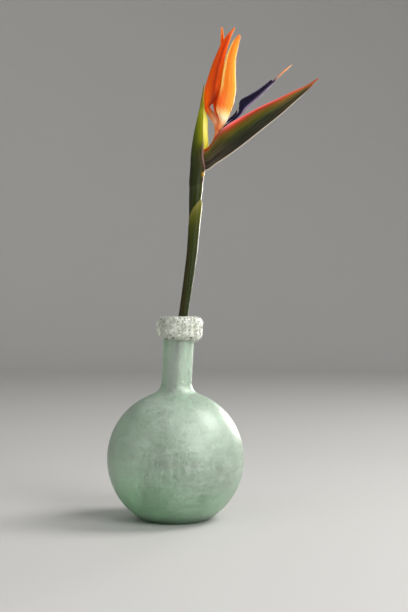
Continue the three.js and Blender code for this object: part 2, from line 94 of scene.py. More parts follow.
def stacked(x: np.ndarray, y: np.ndarray, z: np.ndarray) -> np.ndarray:
    """Stacks three arrays, or numbers, into one array of points."""
    return np.stack(np.broadcast_arrays(x, y, z), axis=-1).astype(float)


@dataclass(frozen=True)
class Ladder:
    """A smooth reading of a table, with no overshoot between its rows."""

    rows: Rows

    def place(self, share: np.ndarray) -> np.ndarray:
        """Position that lies a share of the way from the first row to the last."""
        return self.rows[0][0] + (self.rows[-1][0] - self.rows[0][0]) * share

    def read(self, position: np.ndarray) -> list[np.ndarray]:
        """Reads every column of the table.

        Args:
            position: where to read, on the scale of the table's first column.

        Returns:
            One array for each further column.
        """
        table = np.asarray(self.rows, float)
        stops, values = table[:, 0], table[:, 1:]
        at = np.clip(np.asarray(position, float), stops[0], stops[-1])
        i = np.clip(np.searchsorted(stops, at, side="right") - 1, 0, len(stops) - 2)
        span = np.diff(stops)
        rise = np.diff(values, axis=0) / span[:, None]
        slope = np.vstack([rise[:1], np.zeros((len(stops) - 2, values.shape[1])), rise[-1:]])
        product = rise[:-1] * rise[1:]
        total = np.where(product > 0, rise[:-1] + rise[1:], 1.0)
        slope[1:-1] = np.where(product > 0, 2.0 * product / total, 0.0)
        t = ((at - stops[i]) / span[i])[..., None]
        reach = span[i][..., None]
        start = values[i] * (1 + 2 * t) * (1 - t) ** 2 + slope[i] * reach * t * (1 - t) ** 2
        end = values[i + 1] * t * t * (3 - 2 * t) + slope[i + 1] * reach * t * t * (t - 1)
        return list(np.moveaxis(start + end, -1, 0))


# ---- meshes ----


class Mark(Enum):
    """The numbers that a mesh carries at its points, by which its finish is coloured.

    ALONG runs from 0 at the foot to 1 at the tip, and ACROSS from -1 to 1 with 0 at the keel. WING is
    the distance from the keel on either side, and is read from ACROSS. FACE is 0 on the hollow face and
    1 on the outer one, and INSIDE is 1 on the hollow side of the glass. RISE is the height over the
    keel, TURN the angle round a limb in degrees, or in radians round the vase, and HEIGHT is in
    millimetres.
    """

    ALONG = "along"
    ACROSS = "across"
    WING = "wing"
    FACE = "face"
    INSIDE = "inside"
    RISE = "rise"
    TURN = "turn"
    HEIGHT = "height"


class Side(Enum):
    """The side of its hollow face on which a blade's wall is laid, seen along the surface's normal."""

    BEFORE = 1
    BEHIND = -1


@dataclass
class Skin:
    """Points, faces and marks of a piece that is being made."""

    points: np.ndarray
    faces: list[tuple[int, ...]]
    marks: dict[Mark, np.ndarray]

    def outward(self) -> "Skin":
        """Turns every face round if the closed shape is inside out.

        Returns:
            The same skin.
        """
        volume = 0.0
        for a, b, c in self.triangles():
            square = np.cross(self.points[b], self.points[c])
            volume += float(np.einsum("ij,ij->", self.points[a], square))
        if volume < 0:
            self.faces = [face[::-1] for face in self.faces]
        return self

    def triangles(self) -> list[tuple[np.ndarray, np.ndarray, np.ndarray]]:
        """Corner indices of the faces cut into triangles, as fans.

        Returns:
            One set of three index arrays for triangles, and two for quads.
        """
        found = []
        for size in (3, 4):
            group = np.array([f for f in self.faces if len(f) == size], int).reshape(-1, size)
            for k in range(1, size - 1):
                found.append((group[:, 0], group[:, k], group[:, k + 1]))
        return found

    def piece(self, name: str, place: Matrix) -> Object:
        """Makes the Blender object.

        Args:
            name: the piece's name.
            place: where the piece's own millimetre frame stands in the world, in metres.

        Returns:
            The new object, smooth shaded, with its points in world metres.
        """
        turn = np.array(place.to_3x3())
        world = self.points @ turn.T + np.array(place.translation)
        mesh = bpy.data.meshes.new(name)
        mesh.from_pydata(world.tolist(), [], self.faces)
        mesh.polygons.foreach_set("use_smooth", [True] * len(mesh.polygons))
        for mark, values in self.marks.items():
            layer = mesh.attributes.new(mark.value, "FLOAT", "POINT")
            layer.data.foreach_set("value", np.ascontiguousarray(values, np.float32).ravel())
        mesh.update()
        piece = bpy.data.objects.new(name, mesh)
        bpy.context.scene.collection.objects.link(piece)
        return piece


def grid_faces(rows: int, columns: int, first: int, closed: bool) -> list[tuple[int, ...]]:
    """Quads over a grid of points.

    Args:
        rows: how many rows of points.
        columns: how many points in a row.
        first: index of the grid's first point.
        closed: whether each row runs round and meets itself.

    Returns:
        The quads.
    """
    last = columns if closed else columns - 1
    i, j = np.meshgrid(np.arange(rows - 1), np.arange(last), indexing="ij")
    a = first + i * columns + j
    b = first + i * columns + (j + 1) % columns
    quads = np.stack([a, a + columns, b + columns, b], axis=-1).reshape(-1, 4)
    return [tuple(quad) for quad in quads.tolist()]


def normals_of(surface: Surface, u: np.ndarray, v: np.ndarray) -> np.ndarray:
    """Directions square to a surface.

    Args:
        surface: the surface, over u and v from 0 to 1.
        u: shares along it.
        v: shares across it.

    Returns:
        One direction of length one for every (u, v).
    """
    step = 1e-3
    along = surface(np.minimum(u + step, 1), v) - surface(np.maximum(u - step, 0), v)
    across = surface(u, np.minimum(v + step, 1)) - surface(u, np.maximum(v - step, 0))
    return unit(np.cross(along, across))


@dataclass(frozen=True)
class BladeCut:
    """How finely a blade is divided, how thick it is and what its outer face carries."""

    rows: int
    columns: int
    side: Side
    wall: float
    margin: float
    ribs: float = 0.0
    rib_height: float = 0.0
    keel_height: float = 0.0
    keel_width: float = 0.06
    waviness: float = 0.0
    seed: float = 0.0
    calm_foot: float = 0.06
    calm_tip: float = 0.92
    calm_margin: float = 0.85
    waves: float = 17.0

    def lift(self, u: np.ndarray, across: np.ndarray) -> np.ndarray:
        """Relief of the outer face over the plain wall: rounded ribs and a sharper keel.

        Args:
            u: share of the length.
            across: -1 at one edge, 0 at the keel, 1 at the other edge.

        Returns:
            Extra height in millimetres, never over the margins.
        """
        calm = smooth(u, 0.0, self.calm_foot) * (1 - smooth(u, self.calm_tip, 1.0))
        calm = calm * (1 - smooth(np.abs(across), self.calm_margin, 1.0))
        ribs = self.rib_height * np.cos(across * self.ribs * math.pi)
        keel = self.keel_height * np.exp(-((across / self.keel_width) ** 2))
        return (ribs + keel) * calm

    def make(self, surface: Surface, wall: Optional[Callable[[np.ndarray], np.ndarray]] = None) -> Skin:
        """Builds a closed thin blade whose hollow face follows a surface.

        Args:
            surface: points of the hollow face for u along and v across, both 0 to 1.
            wall: thickness along the length; the blade's plain wall where it is left out.

        Returns:
            The closed blade, with marks along, across and face (0 hollow, 1 outer).
        """
        u, v = np.meshgrid(np.linspace(0, 1, self.rows), np.linspace(0, 1, self.columns), indexing="ij")
        across = 2 * v - 1
        normal = normals_of(surface, u, v)
        thick = self.wall * np.ones_like(u) if wall is None else wall(u)
        thin = self.margin / self.wall
        thick = thick * (thin + (1 - thin) * np.sqrt(np.clip(1 - np.abs(across) ** 8, 0, 1)))
        hollow = surface(u, v)
        hollow = hollow + normal * self.wave(u, across)[..., None]
        outer = hollow + normal * (self.side.value * (thick + self.lift(u, across)))[..., None]
        count = self.rows * self.columns
        faces = grid_faces(self.rows, self.columns, 0, False)
        faces += [face[::-1] for face in grid_faces(self.rows, self.columns, count, False)]
        loop = self.border()
        for a, b in zip(loop, loop[1:] + loop[:1]):
            faces.append((a, b, b + count, a + count))
        marks = {
            Mark.ALONG: np.tile(u.ravel(), 2),
            Mark.ACROSS: np.tile(across.ravel(), 2),
            Mark.FACE: np.repeat([0.0, 1.0], count),
        }
        points = np.concatenate([hollow.reshape(-1, 3), outer.reshape(-1, 3)])
        return Skin(points, faces, marks).outward()

    def wave(self, u: np.ndarray, across: np.ndarray) -> np.ndarray:
        """Gentle waving of the blade's margins.

        Args:
            u: share of the length.
            across: -1 at one edge, 0 at the keel, 1 at the other edge.

        Returns:
            Shift in millimetres, square to the blade.
        """
        phase = u * self.waves + across * 2 + self.seed + 1.6 * np.sin(u * 7 + self.seed)
        return self.waviness * smooth(np.abs(across), 0.55, 1.0) * np.sin(phase)

    def border(self) -> list[int]:
        """Walks round the rim of one face.

        Returns:
            Indices of the rim's points, in order.
        """
        rows, columns = self.rows, self.columns
        first = list(range(columns))
        right = [i * columns + columns - 1 for i in range(1, rows)]
        last = [(rows - 1) * columns + j for j in range(columns - 2, -1, -1)]
        left = [i * columns for i in range(rows - 2, 0, -1)]
        return first + right + last + left


@dataclass(frozen=True)
class LimbCut:
    """How finely a round limb is divided and how its skin is ribbed; the ribs die away near its top."""

    sides: int
    ribs: int = 0
    rib_height: float = 0.0
    calm_from: float = 0.82
    calm_by: float = 0.91

    def make(self, centre: np.ndarray, radius: np.ndarray) -> Skin:
        """Builds a closed limb, with flat caps for ends.

        Args:
            centre: points of the middle line, in an upright plane.
            radius: the limb's radius at each of them.

        Returns:
            The closed limb, with marks along (0 to 1), turn (degrees) and height (mm).
        """
        along = unit(np.gradient(centre, axis=0))
        back = np.array([0.0, 1.0, 0.0])
        left = unit(back - along * along[:, 1:2])
        up = np.cross(along, left)
        turn = np.linspace(0, 2 * math.pi, self.sides, endpoint=False)
        share = np.linspace(0, 1, len(centre))
        calm = 1 - smooth(share, self.calm_from, self.calm_by)
        reach = radius[:, None] + self.rib_height * calm[:, None] * np.cos(turn * self.ribs)
        ring = left[:, None] * np.cos(turn)[:, None] + up[:, None] * np.sin(turn)[:, None]
        body = centre[:, None] + ring * reach[..., None]
        points = [body.reshape(-1, 3), centre[:1], centre[-1:]]
        count = len(centre) * self.sides
        faces = grid_faces(len(centre), self.sides, 0, True)
        for hub, start, forward in ((count, 0, False), (count + 1, count - self.sides, True)):
            for j in range(self.sides):
                pair = (start + j, start + (j + 1) % self.sides)
                faces.append((hub, *(pair[::-1] if forward else pair)))
        degrees = np.degrees(turn)[None].repeat(len(centre), 0).ravel()
        marks = {
            Mark.ALONG: np.concatenate([share.repeat(self.sides), [0.0, 1.0]]),
            Mark.TURN: np.concatenate([degrees, [0.0, 0.0]]),
            Mark.HEIGHT: np.concatenate([centre[:, 2].repeat(self.sides), centre[[0, -1], 2]]),
        }
        return Skin(np.concatenate(points), faces, marks).outward()


def arc(centre: tuple[float, float], radius: float, start: float, end: float, steps: int) -> np.ndarray:
    """Points (radius, height) along an arc, both ends included; its angles are in degrees."""
    angle = np.radians(np.linspace(start, end, steps + 1))
    return np.stack([centre[0] + radius * np.cos(angle), centre[1] + radius * np.sin(angle)], axis=-1)


def turned(profile: np.ndarray, sides: int) -> Skin:
    """Turns a closed profile round the upright axis.

    Args:
        profile: points (radius, height) in order; points on the axis close to one point.
        sides: how many steps round.

    Returns:
        The closed body, with marks turn (radians) and height (mm).
    """
    angle = np.linspace(0, 2 * math.pi, sides, endpoint=False)
    points: list[np.ndarray] = []
    rings: list[list[int]] = []
    for radius, height in profile:
        start = sum(len(ring) for ring in points)
        if radius < 1e-6:
            points.append(np.array([[0.0, 0.0, height]]))
            rings.append([start] * sides)
        else:
            points.append(stacked(radius * np.cos(angle), radius * np.sin(angle), height))
            rings.append(list(range(start, start + sides)))
    faces = []
    on_axis = profile[0][0] < 1e-6
    pairs = zip(rings, rings[1:]) if on_axis else zip(rings, rings[1:] + rings[:1])
    for low, high in pairs:
        for j in range(sides):
            k = (j + 1) % sides
            corners = (low[j], low[k], high[k], high[j])
            faces.append(tuple(dict.fromkeys(corners)))
    cloud = np.concatenate(points)
    marks = {Mark.TURN: np.arctan2(cloud[:, 1], cloud[:, 0]), Mark.HEIGHT: cloud[:, 2].copy()}
    return Skin(cloud, [f for f in faces if len(f) > 2], marks).outward()


# ---- nodes ----


Value = Union[NodeSocket, float]
Tint = Union[NodeSocket, Colour]


class Reckoning(Enum):
    """What one node does with its numbers."""

    ADD = "ADD"
    LESS = "SUBTRACT"
    TIMES = "MULTIPLY"
    LARGER = "MAXIMUM"
    UNSIGNED = "ABSOLUTE"


class Blend(Enum):
    """How one colour is laid over another."""

    COVER = "MIX"
    DARKEN = "MULTIPLY"


class Graph:
    """One material's nodes round its single Principled shader."""

    def __init__(self, name: str) -> None:
        """Starts the material, with a plain Principled shader.

        Args:
            name: the material's name.
        """
        self.material: Material = bpy.data.materials.new(name)
        self.material.use_nodes = True
        self.tree = self.material.node_tree
        self.shader = self.tree.nodes["Principled BSDF"]

    def node(self, kind: str, inputs: dict[object, object], **settings: object) -> bpy.types.Node:
        """Adds a node.

        Args:
            kind: the node's type.
            inputs: sockets to link or values to set, by socket name or number.
            **settings: the node's own settings.

        Returns:
            The node.
        """
        made = self.tree.nodes.new(kind)
        for key, value in settings.items():
            setattr(made, key, value)
        for key, value in inputs.items():
            if isinstance(value, NodeSocket):
                self.tree.links.new(value, made.inputs[key])
            else:
                made.inputs[key].default_value = value
        return made

    def drive(self, **sockets: NodeSocket) -> None:
        """Links sockets to the shader; underscores stand for spaces."""
        for key, value in sockets.items():
            self.tree.links.new(value, self.shader.inputs[key.replace("_", " ")])

    def fix(self, **values: object) -> None:
        """Sets plain values on the shader; underscores stand for spaces."""
        for key, value in values.items():
            self.shader.inputs[key.replace("_", " ")].default_value = value

    def read(self, mark: Mark) -> NodeSocket:
        """Value of one of the mesh's marks.

        Args:
            mark: which one.

        Returns:
            Its value.
        """
        if mark is Mark.WING:
            return self.plain(self.read(Mark.ACROSS))
        return self.node("ShaderNodeAttribute", {}, attribute_name=mark.value).outputs["Fac"]

    def place(self) -> NodeSocket:
        """Place of the point in the piece's own frame, in metres."""
        return self.node("ShaderNodeTexCoord", {}).outputs["Object"]

    def split(self, vector: NodeSocket) -> list[NodeSocket]:
        """X, y and z of a vector."""
        return list(self.node("ShaderNodeSeparateXYZ", {0: vector}).outputs)

    def vector(self, x: Value, y: Value, z: Value) -> NodeSocket:
        """Vector made of three numbers or sockets."""
        return self.node("ShaderNodeCombineXYZ", {0: x, 1: y, 2: z}).outputs[0]

    def reckon(self, way: Reckoning, a: Value, b: Value = 0.0, clamp: bool = False) -> NodeSocket:
        """Result of one reckoning, kept between 0 and 1 where it is clamped."""
        made = self.node("ShaderNodeMath", {0: a, 1: b}, operation=way.value, use_clamp=clamp)
        return made.outputs[0]

    def add(self, a: Value, b: Value, clamp: bool = False) -> NodeSocket:
        """Sum of two numbers or sockets."""
        return self.reckon(Reckoning.ADD, a, b, clamp)

    def less(self, a: Value, b: Value) -> NodeSocket:
        """The first number or socket less the second."""
        return self.reckon(Reckoning.LESS, a, b)

    def times(self, a: Value, b: Value) -> NodeSocket:
        """Product of two numbers or sockets."""
        return self.reckon(Reckoning.TIMES, a, b)

    def larger(self, a: Value, b: Value) -> NodeSocket:
        """The larger of two numbers or sockets."""
        return self.reckon(Reckoning.LARGER, a, b)

    def plain(self, a: Value) -> NodeSocket:
        """A number or socket without its sign."""
        return self.reckon(Reckoning.UNSIGNED, a)

    def step(self, value: NodeSocket, low: float, high: float) -> NodeSocket:
        """Soft step.

        Args:
            value: what the step reads.
            low: where it is 0.
            high: where it is 1; it may be the smaller one.

        Returns:
            The step's value.
        """
        turned_round = high < low
        ends = (high, low) if turned_round else (low, high)
        outs = (1.0, 0.0) if turned_round else (0.0, 1.0)
        inputs = {0: value, 1: ends[0], 2: ends[1], 3: outs[0], 4: outs[1]}
        return self.node("ShaderNodeMapRange", inputs, interpolation_type="SMOOTHSTEP").outputs[0]

    def hump(self, value: NodeSocket, middle: float, width: float) -> NodeSocket:
        """Soft bump of 1 at middle that has died away one width from it."""
        gap = self.plain(self.less(value, middle))
        return self.step(gap, width, 0.0)

    def grain(self, vector: NodeSocket, scale: float, detail: float, rough: float = 0.5) -> NodeSocket:
        """Cloudy noise from 0 to 1 over a vector."""
        inputs = {"Vector": vector, "Scale": scale, "Detail": detail, "Roughness": rough}
        return self.node("ShaderNodeTexNoise", inputs).outputs[0]

    def cells(self, vector: NodeSocket, scale: float) -> NodeSocket:
        """Distance to the nearest point of a scatter of points."""
        return self.node("ShaderNodeTexVoronoi", {"Vector": vector, "Scale": scale}).outputs["Distance"]

    def ramp(self, value: NodeSocket, stops: Stops) -> NodeSocket:
        """Colour ramp.

        Args:
            value: what the ramp reads, 0 to 1.
            stops: positions with their screen colours, in order.

        Returns:
            The ramp's colour.
        """
        made = self.node("ShaderNodeValToRGB", {0: value})
        elements = made.color_ramp.elements
        while len(elements) < len(stops):
            elements.new(0.5)
        for element, (position, colour) in zip(elements, stops):
            element.position = position
            element.color = linear(colour)
        return made.outputs[0]

    def mix(
        self, share: Value, a: Tint, b: Tint, blend: Blend = Blend.COVER, label: str = ""
    ) -> NodeSocket:
        """Blends two colours.

        Args:
            share: how much of the second, a number or socket.
            a: first colour, a socket or a screen colour.
            b: second colour, likewise.
            blend: the way they mix.
            label: what the node is for.

        Returns:
            The blended colour.
        """
        first, second = (c if isinstance(c, NodeSocket) else linear(c) for c in (a, b))
        inputs = {0: share, 6: first, 7: second}
        kind = {"data_type": "RGBA", "blend_type": blend.value, "label": label}
        return self.node("ShaderNodeMix", inputs, **kind).outputs[2]

    def soak(self, tint: tuple[float, float, float, float], density: float) -> None:
        """Lets the inside swallow light, so that thick glass looks deeper in colour."""
        volume = self.node("ShaderNodeVolumeAbsorption", {"Color": tint, "Density": density})
        self.tree.links.new(volume.outputs[0], self.tree.nodes["Material Output"].inputs["Volume"])

    def bump(self, height: NodeSocket, depth: float, strength: float = 1.0) -> NodeSocket:
        """Normal for a relief of a depth in metres."""
        inputs = {"Height": height, "Distance": depth, "Strength": strength}
        return self.node("ShaderNodeBump", inputs).outputs[0]


# ---- finishes: glass and water ----


@dataclass(frozen=True)
class Noise:
    """Cloudy noise over a place: its scale, detail and roughness, and its squeeze along x, y and z."""

    scale: float
    detail: float = 3.0
    rough: float = 0.6
    squeeze: tuple[float, float, float] = (1.0, 1.0, 1.0)

    def over(self, g: Graph, place: NodeSocket) -> NodeSocket:
        """Value of the noise, from 0 to 1.

        Args:
            g: the material's nodes.
            place: the vector that it is read at.

        Returns:
            The value.
        """
        axes = (g.times(axis, share) for axis, share in zip(g.split(place), self.squeeze))
        return g.grain(g.vector(*axes), self.scale, self.detail, self.rough)


@dataclass(frozen=True)
class FrostedGlass:
    """Pale sea-green glass, clear inside, with a satin skin of faint streaks and wiped clouds outside.

    The glass is greener low down, where it is thick, and deepest at its foot, partly for the thick base
    and partly as painted contact shade.
    """

    body: Colour = (0.91, 0.95, 0.90)
    cloudy: Colour = (0.84, 0.89, 0.84)
    grey: Colour = (0.50, 0.56, 0.50)
    green: Colour = (0.66, 0.88, 0.69)
    # deep foot band: partly the thick base's colour, partly painted contact shade where it stands
    deep: Colour = (0.02, 0.42, 0.19)
    streaks: Noise = Noise(420.0, squeeze=(1.0, 1.0, 0.06))
    wiped: Noise = Noise(260.0, squeeze=(0.16, 0.16, 1.0))
    broad: Noise = Noise(30.0, rough=0.5, squeeze=(1.0, 1.0, 0.5))
    fine: Noise = Noise(620.0)
    streak_share: float = 0.34
    wiped_share: float = 0.24
    cloud_share: float = 0.50
    fine_share: float = 0.50
    cloudy_share: float = 0.8
    grey_share: float = 0.20
    green_share: float = 0.55
    deep_share: float = 0.9
    green_heights: tuple[float, float] = (0.062, 0.008)
    deep_heights: tuple[float, float] = (0.011, 0.001)
    milk: float = 0.12
    frost: float = 0.32
    foot_milk: float = 0.25
    haze: float = 0.45
    frost_haze: float = 0.14
    clear_haze: float = 0.42
    relief: float = 0.0003
    ior: float = 1.48
    coat: float = 1.0
    coat_haze: float = 0.42
    soak_tint: tuple[float, float, float, float] = (0.28, 0.84, 0.44, 1.0)
    soak: float = 72.0

    def material(self) -> Material:
        """Makes the glass.

        Returns:
            The material.
        """
        g = Graph("frosted_glass")
        place = g.place()
        height = g.split(place)[2]
        outside = g.step(g.read(Mark.INSIDE), 0.6, 0.4)
        streaks, wiped, fine = (noise.over(g, place) for noise in (self.streaks, self.wiped, self.fine))
        lines = g.add(
            g.times(g.step(streaks, 0.44, 0.68), self.streak_share),
            g.times(g.step(wiped, 0.44, 0.72), self.wiped_share),
        )
        broad = g.add(self.broad.over(g, place), g.times(wiped, 0.12))
        clouds = g.times(g.step(broad, 0.40, 0.72), self.cloud_share)
        frost = g.add(g.add(clouds, lines), g.times(g.step(fine, 0.46, 0.62), self.fine_share))
        foot = g.step(height, *self.deep_heights)
        tone = g.mix(g.times(g.times(frost, outside), self.cloudy_share), self.body, self.cloudy)
        grey = g.times(g.times(g.step(fine, 0.50, 0.40), outside), self.grey_share)
        tone = g.mix(grey, tone, self.grey)
        tone = g.mix(g.times(g.step(height, *self.green_heights), self.green_share), tone, self.green)
        # deep foot band, partly painted contact shade
        tone = g.mix(g.times(foot, self.deep_share), tone, self.deep)
        solid = g.add(self.milk, g.times(frost, self.frost))
        solid = g.times(outside, g.add(solid, g.times(foot, self.foot_milk), clamp=True))
        haze = g.add(self.haze, g.times(frost, self.frost_haze))
        haze = g.add(self.clear_haze, g.times(outside, g.less(haze, self.clear_haze)))
        relief = g.add(g.add(g.times(streaks, 0.7), g.times(wiped, 0.5)), g.times(fine, 0.5))
        g.drive(
            Base_Color=tone,
            Roughness=haze,
            Transmission_Weight=g.less(1.0, solid),
            Coat_Weight=g.times(outside, self.coat),
            Normal=g.bump(g.times(relief, outside), self.relief, 0.8),
        )
        g.fix(IOR=self.ior, Coat_Roughness=self.coat_haze)
        g.soak(self.soak_tint, self.soak)
        return g.material


@dataclass(frozen=True)
class PebbledGlass:
    """Clear to milky glass full of bubbles, glossy, with dark bubble rims and a few brown specks."""

    body: Colour = (0.97, 0.99, 0.93)
    rims: Colour = (0.27, 0.31, 0.20)
    milk: Colour = (0.99, 1.00, 0.96)
    speck: Colour = (0.16, 0.09, 0.04)
    bubble_scale: float = 520.0
    speck_scale: float = 170.0
    pits: Noise = Noise(560.0, rough=0.65)
    cloud: Noise = Noise(230.0)
    rim_share: float = 0.85
    clear: float = 0.68
    cloudiness: float = 0.42
    gloss: float = 0.14
    milky_gloss: float = 0.22
    relief: float = 0.0010
    ior: float = 1.48

    def material(self) -> Material:
        """Makes the glass.

        Returns:
            The material.
        """
        g = Graph("pebbled_glass")
        place = g.place()
        x, y, z = g.split(place)
        bubbles = g.cells(g.vector(x, y, g.times(z, 0.8)), self.bubble_scale)
        pits, cloud = self.pits.over(g, place), self.cloud.over(g, place)
        brown = g.times(g.step(g.cells(place, self.speck_scale), 0.25, 0.15), g.step(cloud, 0.38, 0.54))
        rings = g.times(g.hump(bubbles, 0.46, 0.15), g.step(pits, 0.42, 0.58))
        milky = g.step(cloud, 0.34, 0.66)
        tone = g.mix(milky, self.body, self.milk)
        tone = g.mix(g.times(rings, self.rim_share), tone, self.rims)
        g.drive(
            Base_Color=g.mix(brown, tone, self.speck),
            Roughness=g.add(self.gloss, g.times(milky, self.milky_gloss)),
            Transmission_Weight=g.less(self.clear, g.times(milky, self.cloudiness)),
            Normal=g.bump(g.add(pits, g.times(bubbles, -0.7)), self.relief),
        )
        g.fix(IOR=self.ior)
        return g.material


@dataclass(frozen=True)
class Water:
    """Clear still water with the faintest ripple."""

    body: Colour = (0.93, 0.98, 0.96)
    deeper: Colour = (0.86, 0.95, 0.91)
    ripple: Noise = Noise(60.0, detail=2.0, rough=0.5)
    relief: float = 0.0003
    gloss: float = 0.06
    ior: float = 1.333

    def material(self) -> Material:
        """Makes the water.

        Returns:
            The material.
        """
        g = Graph("water")
        ripple = self.ripple.over(g, g.place())
        tone = g.mix(g.times(ripple, 0.2), self.body, self.deeper)
        g.drive(Base_Color=tone, Normal=g.bump(ripple, self.relief, 0.2))
        g.fix(Roughness=self.gloss, IOR=self.ior, Transmission_Weight=1.0)
        return g.material


# ---- finishes: the plant ----


@dataclass(frozen=True)
class Band:
    """A mask that grows softly from 0 at low to 1 at high; high may be the smaller one."""

    mark: Mark
    low: float
    high: float

    def value(self, g: Graph) -> NodeSocket:
        """Value of the mask."""
        return g.step(g.read(self.mark), self.low, self.high)


@dataclass(frozen=True)
class Stripe:
    """A mask that is 1 at one value of a mark and has died away one width from it."""

    mark: Mark
    middle: float
    width: float

    def value(self, g: Graph) -> NodeSocket:
        """Value of the mask."""
        return g.hump(g.read(self.mark), self.middle, self.width)


@dataclass(frozen=True)
class Streaks:
    """A mask of soft noise over two marks, each with its own scale, cut between two levels."""

    marks: tuple[Mark, Mark]
    scales: tuple[float, float]
    low: float = 0.0
    high: float = 1.0
    detail: float = 2.0

    def noise(self, g: Graph) -> NodeSocket:
        """The noise before it is cut, from 0 to 1."""
        first, second = (g.times(g.read(mark), scale) for mark, scale in zip(self.marks, self.scales))
        return g.grain(g.vector(first, second, 0.0), 1.0, self.detail)

    def value(self, g: Graph) -> NodeSocket:
        """Value of the mask."""
        return g.step(self.noise(g), self.low, self.high)

    def drift(self, g: Graph, value: NodeSocket, reach: float) -> NodeSocket:
        """The value, moved up and down with the noise by half the reach at most."""
        return g.add(value, g.times(g.less(self.noise(g), 0.5), reach))


Mask = Union[Band, Stripe, Streaks]


@dataclass(frozen=True)
class Patch:
    """A colour laid over a skin where all of its masks are at work."""

    what: str
    colour: Colour
    share: float
    masks: tuple[Mask, ...]

    def over(self, g: Graph, tone: NodeSocket) -> NodeSocket:
        """Lays the patch over a tone.

        Args:
            g: the skin's nodes.
            tone: the colour beneath.

        Returns:
            The colour with the patch on it.
        """
        cover = self.masks[0].value(g)
        for mask in self.masks[1:]:
            cover = g.times(cover, mask.value(g))
        return g.mix(g.times(cover, self.share), tone, self.colour, label=self.what)


@dataclass(frozen=True)
class PlantSkin:
    """What all the plant's skins share: colours, patches, parallel veins, a fine grain and a glow."""

    name: str
    stops: Stops = ()
    by: Mark = Mark.ALONG
    span: float = 1.0
    patches: tuple[Patch, ...] = ()
    veins: float = 26.0
    vein_stretch: float = 2.2
    fine_ratio: float = 3.1
    fine_stretch: float = 5.0
    pore_scale: float = 1400.0
    vein_depth: float = 0.00012
    vein_tone: float = 0.16
    vein_shade: Colour = (0.74, 0.70, 0.66)
    vein_light: Colour = (1.0, 0.97, 0.86)
    roughness: float = 0.45
    shine: float = 0.2
    ior: float = 1.42
    glow: float = 0.25
    glow_reach: float = 0.0015
    glow_tint: tuple[float, float, float] = (1.0, 0.6, 0.25)

    def under(self, g: Graph) -> NodeSocket:
        """Colour beneath the patches: the skin's stops over one mark, unless the skin says otherwise."""
        return g.ramp(g.times(g.read(self.by), 1 / self.span), self.stops)

    def material(self) -> Material:
        """Makes the skin from its colours, patches, veins and gloss.

        Returns:
            The material.
        """
        g = Graph(self.name)
        along, across, face = (g.read(mark) for mark in (Mark.ALONG, Mark.ACROSS, Mark.FACE))
        tone = self.under(g)
        for patch in self.patches:
            tone = patch.over(g, tone)
        sheet = (g.times(across, self.veins), g.times(along, self.vein_stretch), g.times(face, 7.0))
        veins = g.grain(g.vector(*sheet), 1.0, 3.0, 0.6)
        threads = g.times(across, self.veins * self.fine_ratio)
        fine = g.grain(g.vector(threads, g.times(along, self.fine_stretch), face), 1.0, 2.0)
        pores = g.grain(g.place(), self.pore_scale, 2.0)
        darker = g.mix(1.0, tone, self.vein_shade, Blend.DARKEN)
        tone = g.mix(g.times(g.step(veins, 0.5, 0.75), self.vein_tone * 2), tone, darker)
        lighter = g.mix(0.25, tone, self.vein_light)
        tone = g.mix(g.times(g.step(fine, 0.5, 0.8), self.vein_tone), tone, lighter)
        gloss = g.add(self.roughness - 0.06, g.times(veins, 0.16))
        relief = g.add(g.add(veins, g.times(fine, 0.5)), g.times(pores, 0.18))
        g.drive(Base_Color=tone, Roughness=gloss, Normal=g.bump(relief, self.vein_depth, 0.7))
        g.fix(
            Specular_IOR_Level=self.shine,
            Subsurface_Weight=self.glow,
            Subsurface_Radius=self.glow_tint,
            Subsurface_Scale=self.glow_reach,
            IOR=self.ior,
        )
        return g.material


@dataclass(frozen=True)
class StalkSkin(PlantSkin):
    """Grey-green stalk, deeper green towards the beak's side, with a painted highlight: a pale line down
    that edge.
    """

    name: str = "stalk_green"
    stops: Stops = (
        (0.0, (0.18, 0.22, 0.07)),
        (0.27, (0.22, 0.23, 0.10)),
        (0.34, (0.19, 0.21, 0.10)),
        (0.46, (0.14, 0.18, 0.03)),
        (0.62, (0.15, 0.19, 0.01)),
        (0.71, (0.22, 0.25, 0.05)),
        # painted highlight: a pale line down the edge that faces the beak
        (0.74, (0.76, 0.73, 0.58)),
        (0.765, (0.72, 0.70, 0.54)),
        (0.80, (0.22, 0.26, 0.07)),
        (1.0, (0.18, 0.22, 0.07)),
    )
    by: Mark = Mark.TURN
    span: float = 360.0
    patches: tuple[Patch, ...] = (
        Patch("blotches", (0.22, 0.22, 0.08), 0.35,
              (Streaks((Mark.TURN, Mark.HEIGHT), (0.02, 0.03), 0.45, 0.8, 3.0),)),
        Patch("lines", (0.30, 0.33, 0.14), 0.2,
              (Streaks((Mark.TURN, Mark.HEIGHT), (0.25, 0.012), 0.5, 0.75),)),
        Patch("soaked foot", (0.30, 0.27, 0.12), 0.4, (Band(Mark.HEIGHT, 120.0, 0.0),)),
    )
    veins: float = 1.0
    roughness: float = 0.38
    glow: float = 0.06


